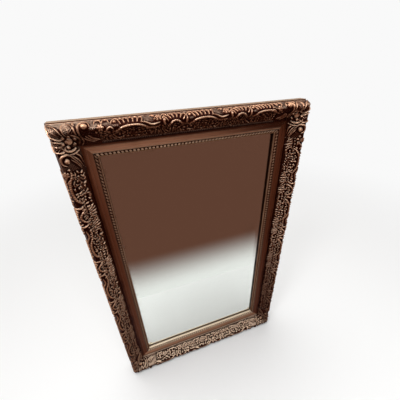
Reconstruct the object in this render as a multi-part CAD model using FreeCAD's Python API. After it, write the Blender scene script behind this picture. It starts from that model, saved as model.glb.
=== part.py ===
import FreeCAD, Part
import math
import os

# Ornate wall mirror: a mitred timber moulding with pressed ornament, a bevelled glass and a fitted back.
# The mirror stands in the XZ plane, its front faces -Y, and the back of the timber is the plane y = 0.
# A moulding section is drawn in two sizes: offset runs inwards from the outer edge of the frame, and
# depth runs forwards from the back plane.

os.makedirs("parts", exist_ok=True)

# Overall sizes and the overrun that cutting shapes take past what they cut
OUTER_WIDTH = 760.0
OUTER_HEIGHT = 1175.0
MOULDING_WIDTH = 100.0
CUT_OVERRUN = 4.0

# Timber moulding section
SIDE_DEPTH = 27.0
FRIEZE_DEPTH = 28.5
FRIEZE_END_DEPTH = 25.5
INNER_FILLET_OFFSET = 69.0
FILLET_WIDTH = 5.0
FILLET_RISE = 1.8
COVE_SAG = 0.8
REBATE_WIDTH = 8.0
LEDGE_WIDTH = 10.0

# Pressed ornament band, seated over the outer part of the timber
ORNAMENT_MARGIN = 3.0
ORNAMENT_REACH = 62.0
ORNAMENT_FOOT = 3.5
ORNAMENT_EDGE = 2.5
BAND_THICKNESS = 6.0
CREST_OFFSET = 18.0
CREST_HALF_WIDTH = 6.0
CREST_SHOULDER_DEPTH = 60.0
CREST_RISE = 4.0
SEAT_RISE = 1.5
SEAT_INSET = 2.0
OUTER_FACE_BULGE = 1.5
HOLLOW_SAG = 4.0
CORNER_LENGTH = 118.0

# Sight bead strip along the glass
BEAD_STRIP_WIDTH = 14.0
BEAD_STEP = 3.0
BEAD_THICKNESS = 4.0
SIGHT_SEAT_DEPTH = 13.0
SIGHT_THICKNESS = 3.0
BEAD_BULGE = 1.5

# Running ornament: long and short arches with flowers between them
ARCH_PITCH = 197.0
ARCH_END_MARGIN = 65.0
LONG_ARCH_SPAN = 72.0
SHORT_ARCH_SPAN = 42.0
ARCH_FOOT_OFFSET = 29.0
ARCH_FOOT_DEPTH = 57.0
ARCH_TOP_OFFSET = 13.0
ARCH_TOP_DEPTH = 65.0
ARCH_WIRE_RADIUS = 4.0
FLOWER_PITCH_SHARE = 0.345
SHORT_ARCH_PITCH_SHARE = 0.625
FLOWER_CORE_RADIUS = 5.0
FLOWER_PETAL_RADIUS = 4.0
FLOWER_RING_RADIUS = 7.5
FLOWER_OFFSET = 21.0
FLOWER_PETALS = 5

# Corner ornament: a boss ringed with beads, leaf lobes towards the corner and a ball scroll on each side
BOSS_OFFSET = 44.0
BOSS_RADIUS = 9.0
BOSS_BEADS = 6
BOSS_BEAD_RADIUS = 4.4
BOSS_RING_RADIUS = 15.0
LOBE_OFFSET = 22.0
LOBE_LENGTH = 21.0
LOBE_WIDTH = 8.5
LOBE_HEIGHT = 7.5
SIDE_LOBE_ALONG = 47.0
SIDE_LOBE_OFFSET = 25.0
SCROLL_ALONG = 84.0
SCROLL_OFFSET = 23.0
SCROLL_RADIUS = 10.5
SCROLL_WIRE_RADIUS = 3.2
SCROLL_BALL_RADIUS = 6.5
SCROLL_OPENING_DEG = 110.0

# Glass and what lies behind it
GLASS_THICKNESS = 5.0
GLASS_EDGE_THICKNESS = 2.6
BEVEL_WIDTH = 25.0
GLASS_CLEARANCE = 1.5
LIP_CLEARANCE = 0.05
SILVER_THICKNESS = 0.3
SHEET_THICKNESS = 1.5
BOARD_THICKNESS = 5.0
BOARD_CLEARANCE = 1.0
SHIM_LENGTH = 40.0
SHIM_PLACE_SHARE = 0.25

# Mitre keys and corner braces
KEY_THICKNESS = 3.0
KEY_DEPTH = 18.0
KEY_REACH = 52.0
KEY_CLEARANCE = 0.1
BRACE_INSET = 24.0
BRACE_LENGTH = 72.0
BRACE_WIDTH = 16.0
BRACE_THICKNESS = 2.0
BRACE_HOLE_SHARES = (0.45, 0.85)

# Screws
SCREW_RADIUS = 1.6
SCREW_HOLE_CLEARANCE = 0.2
SCREW_HEAD_RADIUS = 3.3
ROUND_HEAD_HEIGHT = 1.8
SUNK_HEAD_HEIGHT = 2.2
SUNK_HEAD_RECESS = 0.2
SCREW_REACH = 10.0
SLOT_WIDTH = 0.8
SLOT_DEPTH = 0.9
BOARD_SCREW_SPACING = 230.0

# Hangers on the stiles: a folded strap whose barrel carries a D-shaped ring
HANGER_OFFSET = 42.0
HANGER_DROP = 290.0
STRAP_LENGTH = 60.0
STRAP_WIDTH = 16.0
STRAP_THICKNESS = 1.5
STRAP_HOLE_SHARES = (0.62, 0.86)
BARREL_WALL = 1.7
RING_WIRE_RADIUS = 2.0
RING_CLEARANCE = 0.06
RING_RADIUS = 15.0
RING_BEND_RADIUS = 5.0
RING_LEG = 10.0

# Wall pads at the foot of the frame
PAD_RADIUS = 9.0
PAD_THICKNESS = 7.0
PAD_ROUND = 1.5
PAD_ALONG = 130.0
PAD_OFFSET = 40.0

# Worked-out sizes
GLASS_OFFSET = MOULDING_WIDTH - REBATE_WIDTH + GLASS_CLEARANCE
REBATE_OFFSET = MOULDING_WIDTH - REBATE_WIDTH
BOARD_OFFSET = REBATE_OFFSET - LEDGE_WIDTH
BEAD_OFFSET = MOULDING_WIDTH - BEAD_STRIP_WIDTH
BEAD_SEAT_DEPTH = FRIEZE_END_DEPTH - BEAD_STEP
SILVER_DEPTH = BOARD_THICKNESS + SHEET_THICKNESS
GLASS_DEPTH = SILVER_DEPTH + SILVER_THICKNESS
LIP_OVERLAP_SHARE = (REBATE_WIDTH - GLASS_CLEARANCE) / BEVEL_WIDTH
BEVEL_RISE = GLASS_THICKNESS - GLASS_EDGE_THICKNESS
LIP_DEPTH = GLASS_DEPTH + GLASS_EDGE_THICKNESS + BEVEL_RISE * LIP_OVERLAP_SHARE + LIP_CLEARANCE
BORE_RADIUS = RING_WIRE_RADIUS + RING_CLEARANCE
BARREL_RADIUS = BORE_RADIUS + BARREL_WALL
SIDES = ("top", "right", "bottom", "left")
SIDE_LENGTHS = {"top": OUTER_WIDTH, "right": OUTER_HEIGHT, "bottom": OUTER_WIDTH, "left": OUTER_HEIGHT}
RAIL_NAMES = {"top": "top_rail", "right": "right_stile", "bottom": "bottom_rail", "left": "left_stile"}
CORNERS = ("top_left", "top_right", "bottom_right", "bottom_left")
ALONG = FreeCAD.Vector(1, 0, 0)
FORWARD = FreeCAD.Vector(0, -1, 0)
UPRIGHT = FreeCAD.Vector(0, 0, 1)
ORIGIN = FreeCAD.Vector(0, 0, 0)


def at(along, offset, depth):
    """Return the point of a rail lying at the top, with its outer edge on the X axis."""
    return FreeCAD.Vector(along, -depth, -offset)


def line(start, end):
    """Return a straight edge."""
    return Part.LineSegment(start, end).toShape()


def bowed(start, end, bow):
    """Return an arc whose middle stands off its chord by bow, forwards when it runs inwards."""
    middle = (start + end) * 0.5 + (end - start).cross(ALONG).normalize() * bow
    return Part.Arc(start, middle, end).toShape()


def face_of(edges):
    """Return the flat face inside a closed ring of edges."""
    return Part.Face(Part.Wire(Part.__sortEdges__(edges)))


def outline(points):
    """Return the flat face inside a closed polygon."""
    return Part.Face(Part.makePolygon(points + [points[0]]))


def export(node, shape):
    """Write one sub-part."""
    shape.exportStep("parts/" + node + ".step")


def export_group(node, shapes):
    """Write a group of separate solids as one sub-part."""
    export(node, Part.makeCompound(shapes))


def to_side(shape, side):
    """Move a shape from the rail at the X axis to one side of the frame."""
    moved = shape.copy()
    moved.rotate(ORIGIN, FreeCAD.Vector(0, 1, 0), 90 * SIDES.index(side))
    rise = SIDE_LENGTHS["right"] / 2 if side in ("top", "bottom") else SIDE_LENGTHS["top"] / 2
    outward = {"top": UPRIGHT, "right": ALONG, "bottom": UPRIGHT * -1, "left": ALONG * -1}[side]
    moved.translate(outward * rise)
    return moved


def to_corner(shape, corner):
    """Move a shape from a top left corner at the origin to one corner of the frame."""
    moved = shape.copy()
    moved.rotate(ORIGIN, FreeCAD.Vector(0, 1, 0), 90 * CORNERS.index(corner))
    across = OUTER_WIDTH / 2 if corner.endswith("right") else -OUTER_WIDTH / 2
    rise = OUTER_HEIGHT / 2 if corner.startswith("top") else -OUTER_HEIGHT / 2
    moved.translate(FreeCAD.Vector(across, 0, rise))
    return moved


def mitre_block(length, width):
    """Return the block inside both mitres of a rail, far deeper than any section."""
    front = CREST_SHOULDER_DEPTH + BAND_THICKNESS + CREST_RISE
    corners = [
        at(-length / 2, 0, -front),
        at(length / 2, 0, -front),
        at(length / 2 - width, width, -front),
        at(-length / 2 + width, width, -front),
    ]
    return outline(corners).extrude(FORWARD * (front + front))


def mitred_bar(section, length):
    """Return a section run along a rail and cut at both mitres."""
    section = section.copy()
    section.translate(ALONG * (-length / 2))
    return section.extrude(ALONG * length).common(mitre_block(length, MOULDING_WIDTH + CUT_OVERRUN))


def seat_edges():
    """Return the timber edges that the ornament band lies on, from its outer foot to its inner foot."""
    foot = at(0, ORNAMENT_MARGIN + ORNAMENT_FOOT, SIDE_DEPTH)
    seat_depth = CREST_SHOULDER_DEPTH - BAND_THICKNESS
    outer = at(0, CREST_OFFSET - CREST_HALF_WIDTH + SEAT_INSET, seat_depth)
    inner = at(0, CREST_OFFSET + CREST_HALF_WIDTH - SEAT_INSET, seat_depth)
    end = at(0, ORNAMENT_REACH, FRIEZE_DEPTH)
    return [line(foot, outer), bowed(outer, inner, SEAT_RISE), bowed(inner, end, -HOLLOW_SAG)]


def rail_section():
    """Return the timber section with its ornament seat, frieze, bead seat and the two rebates."""
    inner_end = INNER_FILLET_OFFSET + FILLET_WIDTH
    sight_start = BEAD_OFFSET - FILLET_WIDTH
    cove_start = at(0, ORNAMENT_REACH, FRIEZE_DEPTH)
    cove_end = at(0, INNER_FILLET_OFFSET, FRIEZE_END_DEPTH)
    frieze_start = at(0, inner_end, FRIEZE_END_DEPTH)
    frieze_end = at(0, sight_start, FRIEZE_END_DEPTH)
    inner_fillet = [
        cove_end,
        at(0, INNER_FILLET_OFFSET, FRIEZE_END_DEPTH + FILLET_RISE),
        at(0, inner_end, FRIEZE_END_DEPTH + FILLET_RISE),
        frieze_start,
    ]
    tail = [
        frieze_end,
        at(0, sight_start, FRIEZE_END_DEPTH + FILLET_RISE),
        at(0, BEAD_OFFSET, FRIEZE_END_DEPTH + FILLET_RISE),
        at(0, BEAD_OFFSET, BEAD_SEAT_DEPTH),
        at(0, MOULDING_WIDTH, SIGHT_SEAT_DEPTH),
        at(0, MOULDING_WIDTH, LIP_DEPTH),
        at(0, REBATE_OFFSET, LIP_DEPTH),
        at(0, REBATE_OFFSET, BOARD_THICKNESS),
        at(0, BOARD_OFFSET, BOARD_THICKNESS),
        at(0, BOARD_OFFSET, 0),
        at(0, 0, 0),
        at(0, 0, SIDE_DEPTH),
        at(0, ORNAMENT_MARGIN + ORNAMENT_FOOT, SIDE_DEPTH),
    ]
    edges = [bowed(cove_start, cove_end, -COVE_SAG), bowed(frieze_start, frieze_end, -COVE_SAG)]
    for points in (inner_fillet, tail):
        edges += [line(start, end) for start, end in zip(points, points[1:])]
    return face_of(edges + seat_edges())


def band_points():
    """Return the four points where the arcs of the ornament's front meet."""
    return (
        at(0, ORNAMENT_MARGIN, SIDE_DEPTH),
        at(0, CREST_OFFSET - CREST_HALF_WIDTH, CREST_SHOULDER_DEPTH),
        at(0, CREST_OFFSET + CREST_HALF_WIDTH, CREST_SHOULDER_DEPTH),
        at(0, ORNAMENT_REACH, FRIEZE_DEPTH + ORNAMENT_EDGE),
    )


def band_section():
    """Return the section of the ornament band: outer face, crest and hollow over the timber seat."""
    foot, outer, inner, end = band_points()
    edges = [
        bowed(foot, outer, OUTER_FACE_BULGE),
        bowed(outer, inner, CREST_RISE),
        bowed(inner, end, -HOLLOW_SAG),
        line(end, at(0, ORNAMENT_REACH, FRIEZE_DEPTH)),
        line(at(0, ORNAMENT_MARGIN + ORNAMENT_FOOT, SIDE_DEPTH), foot),
    ]
    return face_of(edges + seat_edges())


def hollow_depth(offset):
    """Return the depth of the band's hollow at one offset, from the crest to the inner foot."""
    inner, end = band_points()[2:]
    curve = bowed(inner, end, -HOLLOW_SAG).Curve
    reach = -offset - curve.Center.z
    return -curve.Center.y - math.sqrt(curve.Radius ** 2 - reach ** 2)


def front_depth(along, offset):
    """Return the depth of the band near a corner, where the nearer of two edges rules."""
    nearer = min(along, offset)
    return hollow_depth(max(nearer, CREST_OFFSET + CREST_HALF_WIDTH))


def bead_section():
    """Return the section of the sight bead strip."""
    seat_outer = at(0, BEAD_OFFSET, BEAD_SEAT_DEPTH)
    seat_inner = at(0, MOULDING_WIDTH, SIGHT_SEAT_DEPTH)
    front_outer = at(0, BEAD_OFFSET, BEAD_SEAT_DEPTH + BEAD_THICKNESS)
    front_inner = at(0, MOULDING_WIDTH, SIGHT_SEAT_DEPTH + SIGHT_THICKNESS)
    edges = [
        line(seat_inner, seat_outer),
        line(seat_outer, front_outer),
        bowed(front_outer, front_inner, BEAD_BULGE),
        line(front_inner, seat_inner),
    ]
    return face_of(edges)


def round_wire(start, middle, end, radius):
    """Return a round bar bent along the arc through three points."""
    edge = Part.Arc(start, middle, end).toShape()
    ring = Part.makeCircle(radius, start, edge.tangentAt(edge.FirstParameter))
    return Part.Wire([edge]).makePipeShell([Part.Wire([ring])], True, False)


def ellipsoid(half_sizes, centre, upright):
    """Return a ball stretched to three half sizes, its last one turned to lie along a direction."""
    stretch = FreeCAD.Matrix()
    stretch.scale(*half_sizes)
    ball = Part.makeSphere(1.0).transformGeometry(stretch)
    ball.Placement = FreeCAD.Placement(centre, FreeCAD.Rotation(UPRIGHT, upright))
    return ball


def arch(centre, span):
    """Return the raised bar of one arch, bent over the crest with both feet in the hollow."""
    start = at(centre - span / 2, ARCH_FOOT_OFFSET, ARCH_FOOT_DEPTH)
    middle = at(centre, ARCH_TOP_OFFSET, ARCH_TOP_DEPTH)
    end = at(centre + span / 2, ARCH_FOOT_OFFSET, ARCH_FOOT_DEPTH)
    return round_wire(start, middle, end, ARCH_WIRE_RADIUS)


def flower(centre):
    """Return the solids of a flower on the crest: a core with a ring of petals."""
    crest_depth = CREST_SHOULDER_DEPTH + CREST_RISE
    solids = [Part.makeSphere(FLOWER_CORE_RADIUS, at(centre, FLOWER_OFFSET, crest_depth))]
    for index in range(FLOWER_PETALS):
        turn = 2 * math.pi * index / FLOWER_PETALS
        across = FLOWER_OFFSET + FLOWER_RING_RADIUS * math.cos(turn)
        along = centre + FLOWER_RING_RADIUS * math.sin(turn)
        solids.append(Part.makeSphere(FLOWER_PETAL_RADIUS, at(along, across, CREST_SHOULDER_DEPTH)))
    return solids


def carved(band, relief, timber):
    """Return a band with its relief grown onto it, cut off where it would sink into the timber."""
    proud = [solid.cut(timber) for solid in relief]
    return band.fuse(proud).removeSplitter()


def ornament_run(length):
    """Return the ornament between two corner pieces of a rail."""
    run = length - 2 * CORNER_LENGTH
    band = band_section()
    band.translate(ALONG * (-run / 2))
    room = run - 2 * ARCH_END_MARGIN
    spaces = max(1, round(room / ARCH_PITCH))
    pitch = room / spaces
    relief = []
    for index in range(spaces + 1):
        centre = ARCH_END_MARGIN - run / 2 + pitch * index
        relief.append(arch(centre, LONG_ARCH_SPAN))
    for index in range(spaces):
        centre = ARCH_END_MARGIN - run / 2 + pitch * index
        relief += flower(centre + pitch * FLOWER_PITCH_SHARE)
        relief.append(arch(centre + pitch * SHORT_ARCH_PITCH_SHARE, SHORT_ARCH_SPAN))
    timber = rail_section()
    timber.translate(ALONG * (-run / 2))
    return carved(band.extrude(ALONG * run), relief, timber.extrude(ALONG * run))


def leaf_lobe(along, offset, upright):
    """Return a leaf lobe: a long rounded lobe lying along a direction on the face of the ornament."""
    centre = at(along, offset, CREST_SHOULDER_DEPTH - LOBE_HEIGHT / 2)
    return ellipsoid((LOBE_WIDTH, LOBE_HEIGHT, LOBE_LENGTH), centre, upright)


def ball_scroll():
    """Return the solids of a curled scroll around a ball, beside the corner."""
    centre = at(SCROLL_ALONG, SCROLL_OFFSET, CREST_SHOULDER_DEPTH)
    gap = math.radians(SCROLL_OPENING_DEG) / 2
    down = -math.pi / 2
    spots = []
    for turn in (down + gap, math.pi / 2, down - gap):
        spots.append(centre + FreeCAD.Vector(math.cos(turn), 0, math.sin(turn)) * SCROLL_RADIUS)
    return [round_wire(*spots, SCROLL_WIRE_RADIUS), Part.makeSphere(SCROLL_BALL_RADIUS, centre)]


def mirrored(shape):
    """Return a shape of the top rail's corner swapped over to the left stile."""
    return shape.mirror(ORIGIN, ALONG + UPRIGHT)


def corner_ornament():
    """Return the ornament of the top left corner, with its corner at the origin."""
    reach = ORNAMENT_REACH + CUT_OVERRUN
    front = CREST_SHOULDER_DEPTH + CREST_RISE + CUT_OVERRUN
    corners = [at(0, 0, 0), at(CORNER_LENGTH, 0, 0), at(CORNER_LENGTH, reach, 0), at(reach, reach, 0)]
    keep = outline(corners).extrude(FORWARD * front)
    wing = band_section().extrude(ALONG * CORNER_LENGTH).common(keep)
    timber = rail_section().extrude(ALONG * CORNER_LENGTH).common(keep)
    boss_depth = front_depth(BOSS_OFFSET, BOSS_OFFSET)
    relief = [Part.makeSphere(BOSS_RADIUS, at(BOSS_OFFSET, BOSS_OFFSET, boss_depth))]
    for index in range(BOSS_BEADS):
        turn = 2 * math.pi * (index + 0.5) / BOSS_BEADS + math.pi / 4
        along = BOSS_OFFSET + BOSS_RING_RADIUS * math.cos(turn)
        offset = BOSS_OFFSET + BOSS_RING_RADIUS * math.sin(turn)
        relief.append(Part.makeSphere(BOSS_BEAD_RADIUS, at(along, offset, front_depth(along, offset))))
    relief.append(leaf_lobe(LOBE_OFFSET, LOBE_OFFSET, UPRIGHT - ALONG))
    side = [leaf_lobe(SIDE_LOBE_ALONG, SIDE_LOBE_OFFSET, UPRIGHT)]
    side += ball_scroll()
    relief += side + [mirrored(solid) for solid in side]
    return carved(wing.fuse(mirrored(wing)), relief, timber.fuse(mirrored(timber)))


def bevelled_glass():
    """Return the glass: a plate whose front edge is ground down to a thin rim all round."""
    width = OUTER_WIDTH - 2 * GLASS_OFFSET
    height = OUTER_HEIGHT - 2 * GLASS_OFFSET
    wires = []
    for inset, depth in (
        (0, GLASS_DEPTH),
        (0, GLASS_DEPTH + GLASS_EDGE_THICKNESS),
        (BEVEL_WIDTH, GLASS_DEPTH + GLASS_THICKNESS),
    ):
        wires.append(Part.makePolygon(rectangle(width - 2 * inset, height - 2 * inset, depth)))
    rim = Part.makeLoft(wires[:2], True, True)
    return rim.fuse(Part.makeLoft(wires[1:], True, True))


def rectangle(width, height, depth):
    """Return the closed corner points of an upright rectangle about the frame's centre."""
    signs = ((-1, -1), (1, -1), (1, 1), (-1, 1), (-1, -1))
    return [FreeCAD.Vector(across * width / 2, -depth, rise * height / 2) for across, rise in signs]


def panel(offset, depth, thickness):
    """Return a flat panel inside the frame, from depth forwards."""
    points = rectangle(OUTER_WIDTH - 2 * offset, OUTER_HEIGHT - 2 * offset, depth)
    return Part.Face(Part.makePolygon(points)).extrude(FORWARD * thickness)


def shims(length):
    """Return the two shims that centre the glass along one rail."""
    solids = []
    for sign in (-1, 1):
        centre = sign * length * SHIM_PLACE_SHARE
        start = at(centre - SHIM_LENGTH / 2, GLASS_OFFSET, GLASS_DEPTH + GLASS_EDGE_THICKNESS)
        solids.append(Part.makeBox(SHIM_LENGTH, GLASS_EDGE_THICKNESS, GLASS_CLEARANCE, start))
    return solids


def mitre_key(reach):
    """Return the flat key let into a kerf across the top left mitre."""
    corners = [at(0, 0, KEY_DEPTH), at(reach, 0, KEY_DEPTH), at(0, reach, KEY_DEPTH)]
    return outline(corners).extrude(FORWARD * KEY_THICKNESS)


def turned(points, place):
    """Return the solid turned from a half outline of (radius, distance forwards) about a screw's axis."""
    spots = [place + FreeCAD.Vector(radius, -distance, 0) for radius, distance in points]
    return outline(spots).revolve(place, FORWARD, 360)


def slotted(screw, place, head_distance):
    """Return a screw with a driver slot across its head."""
    corner = place + FreeCAD.Vector(-SCREW_HEAD_RADIUS, -head_distance - SLOT_DEPTH, -SLOT_WIDTH / 2)
    length = 2 * SCREW_HEAD_RADIUS
    return screw.cut(Part.makeBox(length, SLOT_DEPTH + CUT_OVERRUN, SLOT_WIDTH, corner))


def sunk_screw(place):
    """Return a countersunk screw driven forwards at a point of the back plane, and the hole for it."""
    neck = SUNK_HEAD_RECESS + SUNK_HEAD_HEIGHT
    tip = BOARD_THICKNESS + SCREW_REACH
    shank = [(SCREW_RADIUS, neck), (SCREW_RADIUS, tip), (0, tip)]
    screw = turned([(0, SUNK_HEAD_RECESS), (SCREW_HEAD_RADIUS, SUNK_HEAD_RECESS)] + shank, place)
    rim = [(0, -CUT_OVERRUN), (SCREW_HEAD_RADIUS, -CUT_OVERRUN), (SCREW_HEAD_RADIUS, SUNK_HEAD_RECESS)]
    return slotted(screw, place, SUNK_HEAD_RECESS), turned(rim + shank, place)


def round_screw(place, plate):
    """Return a round-headed screw driven forwards through a plate on the back plane, and its pilot hole."""
    seat = place + FORWARD * -plate
    tip = plate + SCREW_REACH
    head = Part.makeSphere(SCREW_HEAD_RADIUS, ORIGIN, FORWARD * -1, 0, 90, 360)
    flatten = FreeCAD.Matrix()
    flatten.scale(1.0, ROUND_HEAD_HEIGHT / SCREW_HEAD_RADIUS, 1.0)
    head = head.transformGeometry(flatten)
    head.translate(seat)
    shank = Part.makeCylinder(SCREW_RADIUS, tip, seat, FORWARD)
    screw = slotted(head.fuse(shank), seat, -ROUND_HEAD_HEIGHT)
    return screw, shank


def plate_hole(place, plate):
    """Return the clearance hole for a screw through a plate on the back plane."""
    start = place + FORWARD * -(plate + CUT_OVERRUN)
    return Part.makeCylinder(SCREW_RADIUS + SCREW_HOLE_CLEARANCE, plate + CUT_OVERRUN, start, FORWARD)


def corner_brace():
    """Return the flat angle brace over the back of the top left mitre, and the places of its screws."""
    far = BRACE_INSET + BRACE_LENGTH
    near = BRACE_INSET + BRACE_WIDTH
    corners = [
        at(BRACE_INSET, BRACE_INSET, 0),
        at(far, BRACE_INSET, 0),
        at(far, near, 0),
        at(near, near, 0),
        at(near, far, 0),
        at(BRACE_INSET, far, 0),
    ]
    brace = outline(corners).extrude(FORWARD * -BRACE_THICKNESS)
    middle = BRACE_INSET + BRACE_WIDTH / 2
    places = []
    for share in BRACE_HOLE_SHARES:
        reach = BRACE_INSET + BRACE_LENGTH * share
        places += [at(reach, middle, 0), at(middle, reach, 0)]
    return brace.cut([plate_hole(place, BRACE_THICKNESS) for place in places]), places


def hanger_strap(hinge):
    """Return the folded strap below its barrel, and the places of its screws."""
    down = FreeCAD.Vector(0, 0, -STRAP_LENGTH)
    foot = FreeCAD.Vector(hinge.x - STRAP_WIDTH / 2, 0, hinge.z)
    plate = Part.makeBox(STRAP_WIDTH, STRAP_THICKNESS, STRAP_LENGTH, foot + down)
    start = hinge - ALONG * (STRAP_WIDTH / 2)
    barrel = Part.makeCylinder(BARREL_RADIUS, STRAP_WIDTH, start, ALONG)
    bore = Part.makeCylinder(BORE_RADIUS, STRAP_WIDTH + 2 * CUT_OVERRUN, start - ALONG * CUT_OVERRUN, ALONG)
    places = [FreeCAD.Vector(hinge.x, 0, hinge.z) + down * share for share in STRAP_HOLE_SHARES]
    holes = [plate_hole(place, STRAP_THICKNESS) for place in places]
    return plate.fuse(barrel).cut([bore] + holes), places


def hanger_ring(hinge):
    """Return the D-shaped ring hanging straight down from its hinge line."""
    bar_half = RING_RADIUS - RING_BEND_RADIUS
    bend_middle = RING_BEND_RADIUS * math.sqrt(0.5)

    def spot(across, drop):
        return hinge + FreeCAD.Vector(across, 0, -drop)

    edges = []
    for sign in (1, -1):
        bend = Part.Arc(
            spot(sign * bar_half, 0),
            spot(sign * (bar_half + bend_middle), RING_BEND_RADIUS - bend_middle),
            spot(sign * RING_RADIUS, RING_BEND_RADIUS),
        )
        leg = line(spot(sign * RING_RADIUS, RING_BEND_RADIUS), spot(sign * RING_RADIUS, RING_LEG))
        edges += [bend.toShape(), leg]
    bow = Part.Arc(spot(RING_RADIUS, RING_LEG), spot(0, RING_LEG + RING_RADIUS), spot(-RING_RADIUS, RING_LEG))
    path = Part.Wire(Part.__sortEdges__([edges[0], edges[1], bow.toShape(), edges[3], edges[2]]))
    ring = Part.makeCircle(RING_WIRE_RADIUS, spot(bar_half, 0), ALONG)
    loop = path.makePipeShell([Part.Wire([ring])], True, False)
    return loop.fuse(Part.makeCylinder(RING_WIRE_RADIUS, 2 * bar_half, spot(-bar_half, 0), ALONG))


def wall_pad(sign):
    """Return the round pad that keeps the foot of the frame off the wall."""
    place = FreeCAD.Vector(sign * (OUTER_WIDTH / 2 - PAD_ALONG), 0, PAD_OFFSET - OUTER_HEIGHT / 2)
    pad = Part.makeCylinder(PAD_RADIUS, PAD_THICKNESS, place, FORWARD * -1)
    rim = [edge for edge in pad.Edges if edge.CenterOfMass.y > PAD_THICKNESS / 2 and len(edge.Vertexes) == 1]
    return pad.makeFillet(PAD_ROUND, rim)


def board_screw_places(side):
    """Return the screw places along one edge of the backing board."""
    offset = (BOARD_OFFSET + BOARD_CLEARANCE + REBATE_OFFSET) / 2
    length = SIDE_LENGTHS[side] - 2 * offset
    count = max(2, round(length / BOARD_SCREW_SPACING))
    places = []
    for index in range(count):
        spot = Part.Vertex(at(length * ((index + 0.5) / count - 0.5), offset, 0))
        places.append(to_side(spot, side).Point)
    return places


# Screws and keys first, because the timber is bored and sawn for them
board_screws = []
holes = []
for side in SIDES:
    for place in board_screw_places(side):
        screw, hole = sunk_screw(place)
        board_screws.append(screw)
        holes.append(hole)

brace, brace_places = corner_brace()
brace_screws = []
kerfs = []
mitre_keys = []
for corner in CORNERS:
    export("corner_brace_" + corner, to_corner(brace, corner))
    kerfs.append(to_corner(mitre_key(KEY_REACH), corner))
    mitre_keys.append(to_corner(mitre_key(KEY_REACH - KEY_CLEARANCE), corner))
    for place in brace_places:
        screw, hole = round_screw(to_corner(Part.Vertex(place), corner).Point, BRACE_THICKNESS)
        brace_screws.append(screw)
        holes.append(hole)

# Hangers
hanger_screws = []
for side, sign in (("left", -1), ("right", 1)):
    across = sign * (OUTER_WIDTH / 2 - HANGER_OFFSET)
    hinge = FreeCAD.Vector(across, BARREL_RADIUS, OUTER_HEIGHT / 2 - HANGER_DROP)
    strap, strap_places = hanger_strap(hinge)
    export("hanger_strap_" + side, strap)
    export("hanger_ring_" + side, hanger_ring(hinge))
    export("wall_pad_" + side, wall_pad(sign))
    for place in strap_places:
        screw, hole = round_screw(place, STRAP_THICKNESS)
        hanger_screws.append(screw)
        holes.append(hole)

# Timber, ornament and bead strips along the four sides
runs = {}
glass_shims = []
for side in SIDES:
    length = SIDE_LENGTHS[side]
    rail = to_side(mitred_bar(rail_section(), length), side)
    export(RAIL_NAMES[side], rail.cut(holes + kerfs))
    export("sight_bead_" + side, to_side(mitred_bar(bead_section(), length), side))
    if length not in runs:
        runs[length] = ornament_run(length)
    export("ornament_" + side, to_side(runs[length], side))
    glass_shims += [to_side(shim, side) for shim in shims(length)]

corner_piece = corner_ornament()
for corner in CORNERS:
    export("corner_ornament_" + corner, to_corner(corner_piece, corner))

# Glass and back
export("mirror_glass", bevelled_glass())
export("silvering", panel(GLASS_OFFSET, SILVER_DEPTH, SILVER_THICKNESS))
export("packing_sheet", panel(GLASS_OFFSET, BOARD_THICKNESS, SHEET_THICKNESS))
board = panel(BOARD_OFFSET + BOARD_CLEARANCE, 0, BOARD_THICKNESS)
export("backing_board", board.cut(holes))
export_group("glass_shims", glass_shims)
export_group("mitre_keys", mitre_keys)
export_group("board_screws", board_screws)
export_group("brace_screws", brace_screws)
export_group("hanger_screws", hanger_screws)
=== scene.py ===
import logging
import math
from dataclasses import dataclass, field
from enum import Enum
from typing import Any, Callable, Union

import bmesh
import bpy
import numpy as np
from mathutils import Matrix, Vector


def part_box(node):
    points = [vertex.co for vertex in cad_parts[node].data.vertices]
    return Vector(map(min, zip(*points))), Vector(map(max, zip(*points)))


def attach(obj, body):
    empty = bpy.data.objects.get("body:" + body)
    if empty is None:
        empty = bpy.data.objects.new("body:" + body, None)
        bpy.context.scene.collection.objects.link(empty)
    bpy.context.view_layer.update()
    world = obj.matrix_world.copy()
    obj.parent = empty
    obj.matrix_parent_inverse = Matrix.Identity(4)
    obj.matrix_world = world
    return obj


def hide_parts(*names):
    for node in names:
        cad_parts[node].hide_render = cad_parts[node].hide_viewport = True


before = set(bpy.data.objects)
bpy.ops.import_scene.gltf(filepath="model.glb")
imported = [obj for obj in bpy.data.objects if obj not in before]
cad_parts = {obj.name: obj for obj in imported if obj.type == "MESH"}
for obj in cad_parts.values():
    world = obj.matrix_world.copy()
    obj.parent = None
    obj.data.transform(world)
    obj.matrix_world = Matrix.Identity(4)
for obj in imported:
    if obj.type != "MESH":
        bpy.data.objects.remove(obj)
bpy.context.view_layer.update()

LOG = logging.getLogger("wall_mirror")
MILLIMETRE = 0.001
Array = np.ndarray
Colour = tuple[float, float, float]
Point = tuple[float, float, float]
Spots = list[tuple[float, float]]


class Place(Enum):
    """A place round the frame, with its turn about the Y axis in quarter turns."""

    @property
    def word(self) -> str:
        """The place's name in lower case."""
        return self.name.lower()

    def spot(self, width: float, height: float) -> tuple[float, float]:
        """Where the place lies in X and Z, read from its name.

        Args:
            width: the frame's width.
            height: the frame's height.

        Returns:
            Its X and Z.
        """
        across = ("RIGHT" in self.name) - ("LEFT" in self.name)
        upward = ("TOP" in self.name) - ("BOTTOM" in self.name)
        return across * width / 2, upward * height / 2


class Side(Place):
    """The four sides of the frame."""

    TOP = 0
    RIGHT = 1
    BOTTOM = 2
    LEFT = 3

    @property
    def upright(self) -> bool:
        """Whether the side is a stile."""
        return self in (Side.LEFT, Side.RIGHT)


class Corner(Place):
    """The four corners of the frame."""

    TOP_LEFT = 0
    TOP_RIGHT = 1
    BOTTOM_RIGHT = 2
    BOTTOM_LEFT = 3


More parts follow.
